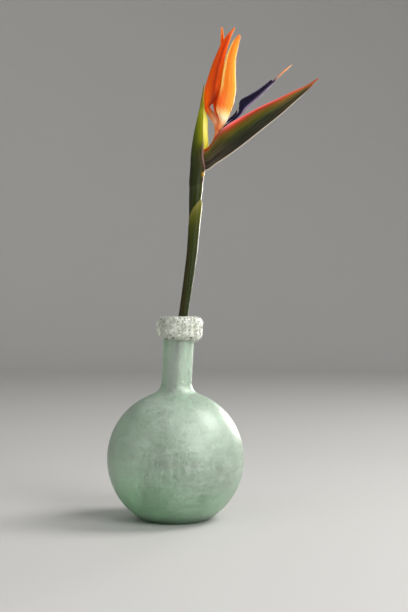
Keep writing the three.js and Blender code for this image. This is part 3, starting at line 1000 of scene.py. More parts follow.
@dataclass(frozen=True)
class SheathSkin(PlantSkin):
    """Olive sheath, yellower at its slanted rim, with a brown overlapped edge and a painted highlight
    down one side.
    """

    name: str = "sheath_green"
    stops: Stops = (
        (0.0, (0.06, 0.12, 0.01)),
        (0.48, (0.07, 0.12, 0.01)),
        (0.64, (0.09, 0.13, 0.01)),
        (0.76, (0.12, 0.15, 0.01)),
        (0.86, (0.19, 0.21, 0.01)),
        (0.92, (0.29, 0.31, 0.02)),
        (0.96, (0.40, 0.40, 0.08)),
        (1.0, (0.46, 0.44, 0.20)),
    )
    patches: tuple[Patch, ...] = (
        Patch("lighter half", (0.20, 0.24, 0.06), 0.35, (Band(Mark.ACROSS, 0.0, -0.5),)),
        Patch("rim", (0.46, 0.44, 0.20), 0.75, (Band(Mark.ALONG, 0.955, 0.99),)),
        Patch("brown strip", (0.205, 0.19, 0.06), 0.85, (Band(Mark.ACROSS, 0.34, 0.60),)),
        Patch("lap", (0.42, 0.38, 0.24), 0.6, (Band(Mark.ACROSS, -0.93, -0.995),)),
        # painted highlight: a pale stripe down the edge that faces the beak
        Patch("painted highlight edge", (0.78, 0.75, 0.58), 0.85, (Stripe(Mark.TURN, 272.0, 12.0),)),
        Patch("hollow face", (0.52, 0.52, 0.30), 0.7, (Band(Mark.FACE, 0.6, 0.4),)),
    )
    veins: float = 34.0
    roughness: float = 0.38
    glow: float = 0.08


@dataclass(frozen=True)
class BractSkin(PlantSkin):
    """Green bract that turns yellow towards its tip and glows where it is thin, with a hollow face
    painted pale for light shining through it.
    """

    name: str = "bract_green"
    stops: Stops = (
        (0.0, (0.15, 0.18, 0.05)),
        (0.18, (0.16, 0.19, 0.05)),
        (0.30, (0.18, 0.21, 0.05)),
        (0.42, (0.26, 0.30, 0.01)),
        (0.55, (0.38, 0.43, 0.0)),
        (0.64, (0.50, 0.51, 0.01)),
        (0.74, (0.60, 0.62, 0.06)),
        (0.85, (0.60, 0.50, 0.10)),
        (1.0, (0.62, 0.44, 0.16)),
    )
    outer_patches: tuple[Patch, ...] = (
        Patch("bright wings", (0.56, 0.55, 0.02), 0.7,
              (Band(Mark.WING, 0.5, 0.9), Band(Mark.ALONG, 0.36, 0.5))),
        Patch("brown wings", (0.24, 0.17, 0.07), 0.6,
              (Band(Mark.WING, 0.55, 0.88), Band(Mark.ALONG, 0.46, 0.3))),
    )
    outer_face: Band = Band(Mark.FACE, 0.4, 0.6)
    # painted light: the hollow face is painted pale cream-yellow, brighter up the bract and streaked
    # with cream, for light shining through the thin wing
    hollow: Colour = (0.92, 0.88, 0.46)
    lit_hollow_top: Colour = (1.00, 0.97, 0.52)
    hollow_climb: Band = Band(Mark.ALONG, 0.05, 0.35)
    cream: Patch = Patch("cream", (1.0, 0.98, 0.76), 0.5,
                         (Streaks((Mark.ACROSS, Mark.ALONG), (6.0, 9.0), 0.5, 0.75),))
    patches: tuple[Patch, ...] = (
        Patch("clasping rim", (0.56, 0.39, 0.37), 0.85,
              (Band(Mark.WING, 0.90, 0.96), Band(Mark.ALONG, 0.48, 0.36))),
        Patch("pale rim", (0.86, 0.80, 0.44), 0.7,
              (Band(Mark.WING, 0.95, 0.995), Band(Mark.ALONG, 0.40, 0.52))),
        Patch("scar", (0.76, 0.58, 0.03), 0.9,
              (Stripe(Mark.ALONG, 0.15, 0.034), Stripe(Mark.WING, 0.84, 0.17))),
    )
    veins: float = 30.0
    roughness: float = 0.40
    glow: float = 0.4
    glow_reach: float = 0.0022
    glow_tint: tuple[float, float, float] = (0.9, 1.0, 0.3)

    def under(self, g: Graph) -> NodeSocket:
        """Green outer face, and a hollow painted cream-yellow for light shining through the thin wing.

        Args:
            g: the skin's nodes.

        Returns:
            The colour beneath the patches.
        """
        outer = super().under(g)
        for patch in self.outer_patches:
            outer = patch.over(g, outer)
        inner = g.mix(self.hollow_climb.value(g), self.hollow, self.lit_hollow_top)
        return g.mix(self.outer_face.value(g), self.cream.over(g, inner), outer)


@dataclass(frozen=True)
class SpatheSkin(PlantSkin):
    """Olive beak with coral edges, a purple-brown foot, a red tip and a pale keel, with painted light
    and shade.
    """

    name: str = "spathe"
    by: Mark = Mark.RISE
    stops: Stops = (
        # darker near the keel: partly the beak's own dark green, partly painted shade on its underside
        (0.0, (0.10, 0.08, 0.03)),
        (0.18, (0.07, 0.08, 0.02)),
        (0.36, (0.11, 0.13, 0.02)),
        (0.48, (0.21, 0.23, 0.01)),
        (0.60, (0.33, 0.30, 0.02)),
        (0.71, (0.42, 0.29, 0.04)),
        (0.80, (0.56, 0.23, 0.08)),
        (0.87, (0.84, 0.28, 0.20)),
        # painted highlight: the top stops, pink along the edge
        (0.925, (1.00, 0.42, 0.40)),
        (1.0, (1.00, 0.58, 0.58)),
    )
    foot_stops: Stops = (
        (0.0, (0.16, 0.12, 0.10)),
        (0.25, (0.16, 0.12, 0.08)),
        (0.45, (0.23, 0.20, 0.11)),
        (0.60, (0.26, 0.23, 0.07)),
        (0.72, (0.36, 0.29, 0.07)),
        (0.80, (0.48, 0.33, 0.10)),
        (0.88, (0.58, 0.24, 0.12)),
        (0.94, (0.66, 0.14, 0.12)),
        (1.0, (0.56, 0.12, 0.15)),
    )
    tip_stops: Stops = (
        (0.0, (0.24, 0.17, 0.08)),
        (0.25, (0.17, 0.15, 0.01)),
        (0.45, (0.32, 0.26, 0.01)),
        (0.60, (0.50, 0.33, 0.07)),
        (0.74, (0.72, 0.34, 0.17)),
        (0.88, (0.88, 0.36, 0.28)),
        # painted highlight: pink at the top edge
        (1.0, (0.94, 0.52, 0.45)),
    )
    foot_reach: Band = Band(Mark.ALONG, 0.34, 0.13)
    tip_reach: Band = Band(Mark.ALONG, 0.56, 0.80)
    sway: Streaks = Streaks((Mark.ACROSS, Mark.ALONG), (3.0, 6.0), detail=3.0)
    sway_reach: float = 0.14
    point: Patch = Patch("point", (0.66, 0.32, 0.16), 1.0, (Band(Mark.ALONG, 0.88, 0.97),))
    lines: Streaks = Streaks((Mark.ACROSS, Mark.ALONG), (30.0, 3.0), 0.50, 0.66)
    line_tone: Colour = (0.44, 0.42, 0.30)
    line_share: float = 0.20
    foot_line_share: float = 0.25
    patches: tuple[Patch, ...] = (
        # painted highlight: pink along the top edge
        Patch("pink highlight edge", (1.0, 0.62, 0.62), 0.7,
              (Band(Mark.RISE, 0.955, 0.985), Band(Mark.ALONG, 0.12, 0.3))),
        # pale keel line: partly the ridge's own colour, partly a painted highlight along it
        Patch("keel", (0.86, 0.80, 0.72), 0.95,
              (Band(Mark.RISE, 0.017, 0.006), Band(Mark.ALONG, 0.96, 0.80))),
        Patch("hollow face", (0.84, 0.36, 0.28), 0.8, (Band(Mark.FACE, 0.6, 0.4),)),
    )
    veins: float = 44.0
    roughness: float = 0.38
    glow: float = 0.06
    glow_tint: tuple[float, float, float] = (1.0, 0.4, 0.2)

    def under(self, g: Graph) -> NodeSocket:
        """Flank, foot and tip of the beak, each coloured by height over the keel, with pale lines.

        Args:
            g: the skin's nodes.

        Returns:
            The colour beneath the patches.
        """
        level = self.sway.drift(g, g.read(self.by), self.sway_reach)
        foot = self.foot_reach.value(g)
        tone = g.mix(foot, g.ramp(level, self.stops), g.ramp(level, self.foot_stops))
        tone = g.mix(self.tip_reach.value(g), tone, g.ramp(level, self.tip_stops))
        tone = self.point.over(g, tone)
        pale = g.add(self.line_share, g.times(foot, self.foot_line_share))
        return g.mix(g.times(self.lines.value(g), pale), tone, self.line_tone)


@dataclass(frozen=True)
class FleshSkin(PlantSkin):
    """Pale pinkish cream foot of the flower."""

    name: str = "flower_base"
    stops: Stops = ((0.0, (0.80, 0.62, 0.46)), (0.5, (0.88, 0.60, 0.42)), (1.0, (0.90, 0.52, 0.32)))
    veins: float = 1.0
    glow: float = 0.2


class SepalKind(Enum):
    """The three sepals, by where they stand."""

    FRONT = "sepal_front"
    LEFT = "sepal_left"
    BACK = "sepal_back"


@dataclass(frozen=True)
class SepalTones:
    """One sepal's colours: over its breadth high up and low down, at its tip, and up its claw."""

    upper: Stops
    lower: Stops
    tip: Colour
    claw: Stops


SEPAL_TONES: dict[SepalKind, SepalTones] = {
    # painted light: the front sepal is painted lighter, as it faces the light
    SepalKind.FRONT: SepalTones(
        upper=(
            # painted highlight: the pale first stops along the sepal's upper edge
            (0.0, (1.00, 0.78, 0.40)),
            (0.06, (1.00, 0.84, 0.50)),
            (0.12, (1.00, 0.58, 0.18)),
            (0.20, (0.98, 0.51, 0.11)),
            (0.30, (1.00, 0.58, 0.18)),
            (0.44, (1.00, 0.59, 0.13)),
            (0.51, (1.00, 0.66, 0.20)),
            (0.70, (0.97, 0.49, 0.05)),
            (1.0, (0.97, 0.45, 0.04)),
        ),
        lower=(
            # painted shadow: the deep first stop, where the left sepal shades the edge
            (0.0, (0.86, 0.32, 0.03)),
            (0.06, (0.97, 0.41, 0.09)),
            (0.15, (1.00, 0.47, 0.17)),
            (0.26, (0.99, 0.53, 0.20)),
            (0.36, (1.00, 0.61, 0.22)),
            (0.45, (1.00, 0.65, 0.22)),
            (0.52, (1.00, 0.63, 0.20)),
            (1.0, (0.97, 0.50, 0.10)),
        ),
        tip=(0.85, 0.48, 0.22),
        claw=(
            (0.0, (0.90, 0.46, 0.24)),
            (0.05, (0.96, 0.64, 0.40)),
            (0.08, (0.99, 0.80, 0.62)),
            (0.12, (1.00, 0.95, 0.82)),
            (0.16, (1.00, 0.90, 0.62)),
            (0.25, (1.00, 0.74, 0.34)),
        ),
    ),
    # painted shade: the left sepal is painted deeper orange, as it stands in shade
    SepalKind.LEFT: SepalTones(
        upper=(
            (0.0, (0.98, 0.48, 0.06)),
            (0.36, (0.93, 0.40, 0.0)),
            (0.50, (0.91, 0.42, 0.03)),
            (0.58, (0.86, 0.32, 0.0)),
            (0.70, (0.81, 0.28, 0.0)),
            # painted shade: the darkest stops, in the fold
            (0.78, (0.62, 0.17, 0.0)),
            (0.86, (0.92, 0.34, 0.0)),
            (0.94, (1.00, 0.46, 0.02)),
            (1.0, (1.00, 0.58, 0.16)),
        ),
        lower=(
            (0.0, (0.94, 0.50, 0.10)),
            (0.40, (0.90, 0.42, 0.06)),
            (0.50, (0.84, 0.48, 0.14)),
            (0.57, (0.88, 0.42, 0.02)),
            (0.65, (0.92, 0.38, 0.0)),
            # painted shade: the darkest stops, in the fold
            (0.76, (0.76, 0.27, 0.0)),
            (0.86, (0.52, 0.14, 0.0)),
            (0.94, (0.72, 0.23, 0.0)),
            (1.0, (0.92, 0.38, 0.03)),
        ),
        tip=(0.98, 0.60, 0.30),
        claw=(
            (0.0, (0.88, 0.42, 0.22)),
            (0.05, (0.90, 0.57, 0.38)),
            (0.09, (0.90, 0.67, 0.53)),
            (0.13, (0.82, 0.57, 0.42)),
            (0.17, (0.72, 0.44, 0.24)),
            (0.24, (0.86, 0.46, 0.12)),
        ),
    ),
    SepalKind.BACK: SepalTones(
        upper=(
            (0.0, (0.96, 0.60, 0.24)),
            (0.3, (0.93, 0.46, 0.10)),
            (0.5, (0.90, 0.42, 0.08)),
            (0.7, (0.93, 0.46, 0.10)),
            (1.0, (0.96, 0.60, 0.24)),
        ),
        lower=(
            (0.0, (0.98, 0.62, 0.26)),
            (0.3, (0.96, 0.50, 0.14)),
            (0.5, (0.93, 0.45, 0.10)),
            (0.7, (0.96, 0.50, 0.14)),
            (1.0, (0.98, 0.62, 0.26)),
        ),
        tip=(0.98, 0.63, 0.32),
        claw=(
            (0.0, (0.84, 0.52, 0.34)),
            (0.08, (0.88, 0.68, 0.56)),
            (0.18, (0.94, 0.66, 0.40)),
        ),
    ),
}


@dataclass(frozen=True)
class SepalSkin(PlantSkin):
    """Orange petal tissue over a cream claw, with streaks along the folds; its tones hold painted light
    and shade.
    """

    kind: SepalKind = SepalKind.FRONT
    upper_reach: Band = Band(Mark.ALONG, 0.28, 0.52)
    tip_reach: Band = Band(Mark.ALONG, 0.90, 1.0)
    claw_reach: Band = Band(Mark.ALONG, 0.25, 0.15)
    tip_share: float = 0.7
    sway: Streaks = Streaks((Mark.ACROSS, Mark.ALONG), (2.0, 7.0))
    sway_reach: float = 0.08
    rosy: Colour = (0.92, 0.60, 0.42)
    rosy_middle: float = 0.08
    rosy_width: float = 0.25
    rosiness: float = 0.40
    veins: float = 22.0
    vein_tone: float = 0.24
    roughness: float = 0.50
    shine: float = 0.14
    glow: float = 0.45
    glow_reach: float = 0.0026
    glow_tint: tuple[float, float, float] = (1.0, 0.5, 0.15)

    def under(self, g: Graph) -> NodeSocket:
        """Blade coloured over its breadth, and claw coloured up its length.

        Args:
            g: the skin's nodes.

        Returns:
            The sepal's colour.
        """
        tones = SEPAL_TONES[self.kind]
        breadth = self.sway.drift(g, g.times(g.add(g.read(Mark.ACROSS), 1.0), 0.5), self.sway_reach)
        lower, upper = g.ramp(breadth, tones.lower), g.ramp(breadth, tones.upper)
        blade = g.mix(self.upper_reach.value(g), lower, upper)
        blade = g.mix(g.times(self.tip_reach.value(g), self.tip_share), blade, tones.tip)
        claw = g.ramp(g.read(Mark.ALONG), tones.claw)
        rosy = g.times(g.hump(breadth, self.rosy_middle, self.rosy_width), self.rosiness)
        return g.mix(self.claw_reach.value(g), blade, g.mix(rosy, claw, self.rosy))


@dataclass(frozen=True)
class TongueSkin(PlantSkin):
    """Deep indigo tissue with a pale violet keel."""

    name: str = "tongue_blue"
    by: Mark = Mark.WING
    stops: Stops = (
        (0.0, (0.14, 0.14, 0.28)),
        (0.3, (0.05, 0.06, 0.20)),
        (0.7, (0.02, 0.02, 0.14)),
        (1.0, (0.06, 0.03, 0.14)),
    )
    stalk: Patch = Patch("stalk", (0.13, 0.18, 0.38), 0.5, (Band(Mark.ALONG, 0.42, 0.12),))
    keel_reach: Band = Band(Mark.WING, 0.36, 0.16)
    flank_reach: Band = Band(Mark.WING, 0.55, 0.2)
    flank_start: Band = Band(Mark.ALONG, 0.4, 0.9)
    keel: Colour = (0.60, 0.56, 0.66)
    keel_share: float = 0.9
    patches: tuple[Patch, ...] = (
        Patch("rim", (0.40, 0.34, 0.48), 0.6,
              (Band(Mark.WING, 0.9, 0.99), Band(Mark.ALONG, 0.4, 0.7))),
        Patch("tip", (0.30, 0.25, 0.30), 0.6, (Band(Mark.ALONG, 0.93, 0.98),)),
    )
    veins: float = 16.0
    vein_tone: float = 0.2
    roughness: float = 0.40
    shine: float = 0.15
    glow: float = 0.05
    glow_tint: tuple[float, float, float] = (0.4, 0.3, 1.0)

    def under(self, g: Graph) -> NodeSocket:
        """Indigo wings and the violet keel, which widens up the tongue.

        Args:
            g: the skin's nodes.

        Returns:
            The colour beneath the patches.
        """
        tone = self.stalk.over(g, super().under(g))
        flank = g.times(self.flank_reach.value(g), self.flank_start.value(g))
        keel = g.larger(self.keel_reach.value(g), g.times(flank, 0.5))
        return g.mix(g.times(keel, self.keel_share), tone, self.keel)


@dataclass(frozen=True)
class StyleSkin(PlantSkin):
    """Slim style, violet in the groove and pinkish orange at its tip."""

    name: str = "style"
    stops: Stops = (
        (0.0, (0.72, 0.68, 0.80)),
        (0.66, (0.50, 0.44, 0.54)),
        (0.75, (0.42, 0.34, 0.38)),
        (0.79, (0.80, 0.60, 0.50)),
        (0.90, (0.92, 0.62, 0.40)),
        (1.0, (0.93, 0.74, 0.56)),
    )
    veins: float = 1.0
    roughness: float = 0.5
    glow: float = 0.2
    glow_reach: float = 0.0005


# ---- putting pieces in place ----


def dress(piece: Object, node: str, finish: Material) -> Object:
    """Gives a piece its finish, hangs it on the body and hides the CAD node that it stands for.

    Args:
        piece: the new piece.
        node: the CAD node that it replaces.
        finish: its material.

    Returns:
        The same piece.
    """
    piece.data.materials.append(finish)
    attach(piece, BODY)
    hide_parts(node)
    return piece


def report(piece: Object) -> None:
    """Logs a piece's faces and the size of its box."""
    size = np.ptp([v.co for v in piece.data.vertices], axis=0) / MM
    log.info("%s: %d faces, %.1f x %.1f x %.1f mm", piece.name, len(piece.data.polygons), *size)


@dataclass(frozen=True)
class FlowerPlane:
    """Where the flower's own upright plane stands: its foot, and how far it leans back.

    The stalk's foot has foot_radius, in millimetres, and starts first_tilt degrees off upright. The
    plane leans so that the stalk passes the vase's mouth, at lip_top, set back by mouth_set_back.
    """

    foot_radius: float = 3.4
    first_tilt: float = 10.2
    mouth_set_back: float = 5.3
    lip_top: float = 202.3

    def matrix(self) -> Matrix:
        """Place of the flower's millimetre frame in the world.

        Returns:
            A matrix from flower millimetres to world metres.
        """
        low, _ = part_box("stem")
        foot = Vector(low) / MM
        foot.x += self.foot_radius * math.cos(math.radians(self.first_tilt))
        foot.y += self.foot_radius
        lean = math.atan((self.mouth_set_back - foot.y) / (self.lip_top - foot.z))
        foot.z += self.foot_radius * math.sin(lean)
        turn = Matrix.Rotation(-lean, 4, "X")
        return Matrix.Scale(MM, 4) @ Matrix.Translation(foot) @ turn


@dataclass(frozen=True)
class BottleVase:
    """The glass: a round belly with a leaning neck, a wound lip and the water inside.

    Sizes are in millimetres, heights from the table up, and neck_lean is the sideways step for each
    millimetre of height above lean_start. The blown glass dips by up to blown_dip, and waves by
    two_fold and three_fold round its girth. The lip sags at one side by lip_sag, and its outside is
    dented by coarse and fine dents and blisters, each with a depth and a scale.
    """

    belly_radius: float = 68.5
    belly_height: float = 60.3
    wall: float = 3.4
    floor: float = 6.0
    foot_flat: float = 29.3
    foot_round: float = 12.0
    floor_round: float = 8.0
    neck_radius: float = 15.4
    shoulder: float = 12.0
    neck_top: float = 198.0
    neck_lean: float = 0.05
    lean_start: float = 118.0
    lip_radius: float = 23.5
    lip_bottom: float = 179.0
    lip_top: float = 202.3
    lip_round: float = 7.4
    mouth_radius: float = 11.0
    water_level: float = 58.0
    gap: float = 0.3
    blown_dip: float = 0.26
    two_fold: float = 0.16
    three_fold: float = 0.10
    lip_sag: float = 2.2
    lip_wave: float = 0.4
    lip_swell: tuple[float, float] = (0.014, 0.01)
    coarse_dents: tuple[float, float] = (0.30, 0.22)
    fine_dents: tuple[float, float] = (0.26, 0.62)
    blisters: tuple[float, float] = (0.22, 0.55)
    blister_size: float = 0.45
    melt: float = 0.16
    sides: int = 144
    lip_sides: int = 400

    def place(self) -> Matrix:
        """Place of the vase's millimetre frame in the world.

        Returns:
            A matrix that puts the frame under the middle of the belly's box.
        """
        low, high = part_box("vase_bottle")
        middle = ((low.x + high.x) / 2, (low.y + high.y) / 2, low.z)
        return Matrix.Translation(middle) @ Matrix.Scale(MM, 4)

    def neck_shift(self, height: np.ndarray) -> np.ndarray:
        """Sideways shift of the leaning neck at a height."""
        return self.neck_lean * np.maximum(0, height - self.lean_start)

    def belly_to_neck(self, inset: float, start: float) -> np.ndarray:
        """Profile of the belly, shoulder and neck.

        Args:
            inset: 0 for the outside, the wall for the inside.
            start: angle round the belly's centre where it begins, in degrees.

        Returns:
            The points (radius, height), from below up.
        """
        x = self.neck_radius + self.shoulder
        z = self.belly_height + math.sqrt((self.belly_radius + self.shoulder) ** 2 - x**2)
        joint = math.degrees(math.atan2(z - self.belly_height, x))
        neck = x - self.shoulder - inset
        return np.vstack([
            arc((0, self.belly_height), self.belly_radius - inset, start, joint, 60),
            arc((x, z), self.shoulder + inset, joint + 180, 180, 14)[1:],
            np.stack([np.full(12, neck), np.linspace(z, self.neck_top, 13)[1:]], axis=-1),
        ])

    def floor_corner(self) -> tuple[float, float, float]:
        """Rounding inside at the floor.

        Returns:
            Its centre's radius and height, and the angle in degrees at which it meets the belly.
        """
        z = self.floor + self.floor_round
        reach = self.belly_radius - self.wall - self.floor_round
        x = math.sqrt(reach**2 - (self.belly_height - z) ** 2)
        return x, z, math.degrees(math.atan2(z - self.belly_height, x))

    def bottle(self) -> Skin:
        """Closed glass shell of belly and neck, a touch uneven as blown glass is.

        Returns:
            The shell, with a mark inside that is 1 on its hollow side.
        """
        meet = math.degrees(math.atan2(self.foot_round - self.belly_height, self.foot_flat))
        x, z, angle = self.floor_corner()
        outside = np.vstack([
            np.array([[0.0, 0.0], [self.foot_flat * 0.6, 0.0]]),
            arc((self.foot_flat, self.foot_round), self.foot_round, -90, meet, 8),
            self.belly_to_neck(0, meet)[1:],
        ])
        inside = np.vstack([
            np.array([[0.0, self.floor], [x * 0.6, self.floor]]),
            arc((x, z), self.floor_round, -90, angle, 6),
            self.belly_to_neck(self.wall, angle)[1:],
        ])
        skin = turned(np.vstack([outside, inside[::-1]]), self.sides)
        turn, height = skin.marks[Mark.TURN], skin.marks[Mark.HEIGHT]
        reach = np.hypot(skin.points[:, 0], skin.points[:, 1])
        last_outside = (len(outside) - 1) * self.sides
        skin.marks[Mark.INSIDE] = (np.arange(len(skin.points)) > last_outside).astype(float)
        loose = smooth(height, 14, 40) * (1 - smooth(height, 165, 178)) * smooth(reach, 10, 16)
        uneven = self.two_fold * np.sin(2 * turn + 0.7)
        uneven += self.three_fold * np.sin(3 * turn + height * 0.05)
        skin.points[:, :2] *= (1 - loose * (self.blown_dip - uneven) / np.maximum(reach, 1))[:, None]
        skin.points[:, 0] += self.neck_shift(height)
        return skin

    def lip(self) -> Skin:
        """The glass wound round the mouth, pitted and uneven all over its outside.

        Returns:
            The closed ring.
        """
        bore = self.neck_radius + self.gap
        outer = self.lip_radius - self.lip_round
        seat = self.neck_top + self.gap
        mouth, low, high = self.mouth_radius, self.lip_bottom, self.lip_top
        low_round, high_round = low + self.lip_round, high - self.lip_round
        flank = np.linspace(low_round, high_round, 20)[1:-1]
        top = np.linspace(outer, mouth + 1, 14)[1:]
        profile = np.vstack([
            np.array([[bore, seat], [bore, (seat + low) / 2], [bore, low + 1.5]]),
            arc((outer, low_round), self.lip_round, -100, 0, 30),
            np.stack([np.full_like(flank, self.lip_radius), flank], axis=-1),
            arc((outer, high_round), self.lip_round, 0, 90, 30),
            np.stack([top, np.full_like(top, high)], axis=-1),
            np.array([[mouth + 0.3, high - 0.3], [mouth, high - 1], [mouth, seat]]),
        ])
        skin = turned(profile, self.lip_sides)
        point, turn = skin.points, skin.marks[Mark.TURN]
        outward = smooth(np.hypot(point[:, 0], point[:, 1]), bore, outer)
        wide, narrow = self.lip_swell
        swell = 1 + outward * (wide * np.sin(3 * turn + 0.6) + narrow * np.sin(5 * turn))
        lower = 1 - smooth(point[:, 2], low + 1, high_round)
        point[:, 2] += outward * lower * (self.lip_wave * np.sin(4 * turn) - self.lip_sag * np.cos(turn))
        point[:, :2] *= swell[:, None]
        point += self.pits(skin) * outward[:, None]
        point[:, 0] += self.neck_shift(skin.marks[Mark.HEIGHT])
        return skin

    def pits(self, skin: Skin) -> np.ndarray:
        """Small dents and blisters of the wound lip.

        Args:
            skin: the lip before it leans.

        Returns:
            The shift of every point, towards the middle of the glass.
        """
        middle_radius = (self.lip_radius + self.neck_radius) / 2
        flat = unit(np.column_stack([skin.points[:, :2], np.zeros(len(skin.points))]))
        middle = flat * middle_radius
        middle[:, 2] = (self.lip_bottom + self.lip_top) / 2
        away = unit(skin.points - middle)
        depth = np.array([self.dent(Vector(point)) for point in skin.points])
        return away * (depth - self.melt)[:, None]

    def dent(self, point: Vector) -> float:
        """Height of the wound glass over its plain round shape, before it is melted smooth.

        Args:
            point: a place on the lip, in millimetres.

        Returns:
            The height in millimetres, less than nothing in a dent or over a burst blister.
        """
        height = 0.0
        for depth, scale in (self.coarse_dents, self.fine_dents):
            height += depth * noise.noise(point * scale)
        depth, scale = self.blisters
        return height - depth * max(0.0, self.blister_size - noise.voronoi(point * scale)[0][0])

    def water(self) -> Skin:
        """Still water up to its level, before the stalk's room is cut out of it.

        Returns:
            The closed body.
        """
        x, z, angle = self.floor_corner()
        radius = self.belly_radius - self.wall - self.gap
        drop = self.water_level - self.belly_height
        top = math.degrees(math.atan2(drop, math.sqrt(radius**2 - drop**2)))
        rim = math.sqrt(radius**2 - drop**2)
        profile = np.vstack([
            np.array([[0.0, self.floor + self.gap], [x * 0.6, self.floor + self.gap]]),
            arc((x, z), self.floor_round - self.gap, -90, angle, 6),
            arc((0, self.belly_height), radius, angle, top, 40)[1:],
            np.array([[rim * 0.9, self.water_level - 0.1], [0.0, self.water_level - 0.1]]),
        ])
        return turned(profile, self.sides)

    def build(self, stalk: "Stalk", plane: Matrix) -> list[Object]:
        """Makes the three glass and water pieces.

        Args:
            stalk: the stalk that stands in the water.
            plane: place of the flower's frame in the world.

        Returns:
            The pieces.
        """
        place = self.place()
        bottle = self.bottle().piece("bottle", place)
        lip = self.lip().piece("wound_lip", place)
        water = self.water().piece("still_water", place)
        stalk.bore(water, plane)
        return [
            dress(bottle, "vase_bottle", FrostedGlass().material()),
            dress(lip, "vase_lip_wrap", PebbledGlass().material()),
            dress(water, "water", Water().material()),
        ]


@dataclass(frozen=True)
class Stalk:
    """The stalk up to its swollen node, and the sheath rolled round it.

    Rows hold height, sideways place and radius in millimetres, and slit holds height and turn in
    degrees. The node ends in a ledge at node_top, with a peg on it that carries the flower's head.
    """

    rows: Rows = (
        (-10, -1.6, 3.4),
        (0, 0, 3.4),
        (31, 5.6, 3.4),
        (106, 17.7, 3.45),
        (196, 32.2, 3.6),
        (239, 38.5, 4.15),
        (262, 41.4, 4.45),
        (283, 43.0, 4.85),
        (297, 43.7, 5.65),
        (314, 44.4, 6.35),
        (330.4, 45.4, 7.0),
        (331.2, 45.4, 5.7),
        (338, 45.8, 5.8),
        (343, 46.4, 5.9),
    )
    node_top: float = 330.4
    ledge: tuple[float, ...] = (330.6, 330.9, 331.2)
    peg_foot: float = 332.0
    peg_top: float = 343.0
    rib_height: float = 0.05
    slit: Rows = ((118, -80), (197, -92), (240, -112), (263, -124), (287, -165), (315, -165))
    sheath_foot: float = 118.0
    sheath_rim_low: float = 286.5
    sheath_apex: float = 314.5
    sheath_wall: float = 0.6
    sheath_gap: float = 0.4
    rim_flare: float = 0.5
    rim_climb: float = 0.6
    rim_fall: float = 1.2
    slit_width: float = 8.0
    apex_turn: float = 1 / 3
    gap: float = 0.3
    bored: tuple[float, float] = (-5.0, 70.0)

    def middle(self, height: np.ndarray) -> np.ndarray:
        """Points of the stalk's middle line."""
        return stacked(Ladder(self.rows).read(height)[0], 0.0, height)

    def radius(self, height: np.ndarray) -> np.ndarray:
        """Radius of the bare stalk."""
        return Ladder(self.rows).read(height)[1]

    def stalk(self) -> Skin:
        """The bare stalk, finely ribbed along its length.

        Returns:
            The closed stalk.
        """
        shaft, peg = np.linspace(0, self.node_top, 260), np.linspace(self.peg_foot, self.peg_top, 12)
        heights = np.concatenate([shaft, self.ledge, peg])
        cut = LimbCut(sides=72, ribs=18, rib_height=self.rib_height)
        return cut.make(self.middle(heights), self.radius(heights) - self.rib_height)

    def sheath_grid(self, u: np.ndarray, v: np.ndarray) -> tuple[np.ndarray, np.ndarray]:
        """Where the sheath's points stand round the stalk.

        Args:
            u: share of the way up, from the foot to the slanted rim.
            v: share of the way round, from one edge of the slit to the other.

        Returns:
            Their heights in millimetres and their turns in degrees.
        """
        apex = self.apex_turn
        falling = (np.maximum(1 - v, 0) / (1 - apex)) ** self.rim_fall
        rising = np.where(v < apex, (v / apex) ** self.rim_climb, falling)
        top = self.sheath_rim_low + (self.sheath_apex - self.sheath_rim_low) * rising
        height = self.sheath_foot + (top - self.sheath_foot) * u
        slit = Ladder(self.slit).read(height)[0] + self.slit_width / 2
        return height, slit + (360 - self.slit_width) * v

    def sheath_surface(self, u: np.ndarray, v: np.ndarray) -> np.ndarray:
        """Hollow face of the sheath, which flares a little at its rim.

        Args:
            u: share of the way up.
            v: share of the way round.

        Returns:
            The points.
        """
        height, degrees = self.sheath_grid(u, v)
        turn = np.radians(degrees)
        flare = self.rim_flare * smooth(height, self.sheath_rim_low + 5, self.sheath_apex + 1)
        reach = self.radius(height) + self.sheath_gap + flare
        middle = self.middle(height)
        return middle + stacked(reach * np.cos(turn), reach * np.sin(turn), np.zeros_like(turn))

    def sheath(self) -> Skin:
        """The rolled sheath.

        Returns:
            The closed sheath, with a mark turn in degrees round the stalk.
        """
        cut = BladeCut(
            rows=240, columns=110, side=Side.BEHIND, wall=self.sheath_wall, margin=0.25,
            ribs=24, rib_height=0.04,
        )
        skin = cut.make(self.sheath_surface)
        across = (skin.marks[Mark.ACROSS] + 1) / 2
        skin.marks[Mark.TURN] = (self.sheath_grid(skin.marks[Mark.ALONG], across)[1] - 90) % 360
        return skin

    def bore(self, water: Object, plane: Matrix) -> None:
        """Cuts the stalk's room out of the water.

        Args:
            water: the water's piece.
            plane: place of the flower's frame in the world.
        """
        heights = np.linspace(*self.bored, 30)
        cutter = LimbCut(sides=48).make(self.middle(heights), self.radius(heights) + self.gap)
        cutter = cutter.piece("bore", plane)
        cut = water.modifiers.new("bore", "BOOLEAN")
        cut.operation = "DIFFERENCE"
        cut.object = cutter
        shown = water.evaluated_get(bpy.context.evaluated_depsgraph_get())
        whole = bpy.data.meshes.new_from_object(shown)
        water.modifiers.clear()
        water.data = whole
        bpy.data.objects.remove(cutter)

    def build(self, plane: Matrix) -> list[Object]:
        """Makes the stalk and its sheath.

        Args:
            plane: place of the flower's frame in the world.

        Returns:
            The two pieces.
        """
        stalk = self.stalk().piece("stalk", plane)
        sheath = self.sheath().piece("rolled_sheath", plane)
        return [
            dress(stalk, "stem", StalkSkin().material()),
            dress(sheath, "stem_sheath", SheathSkin().material()),
        ]


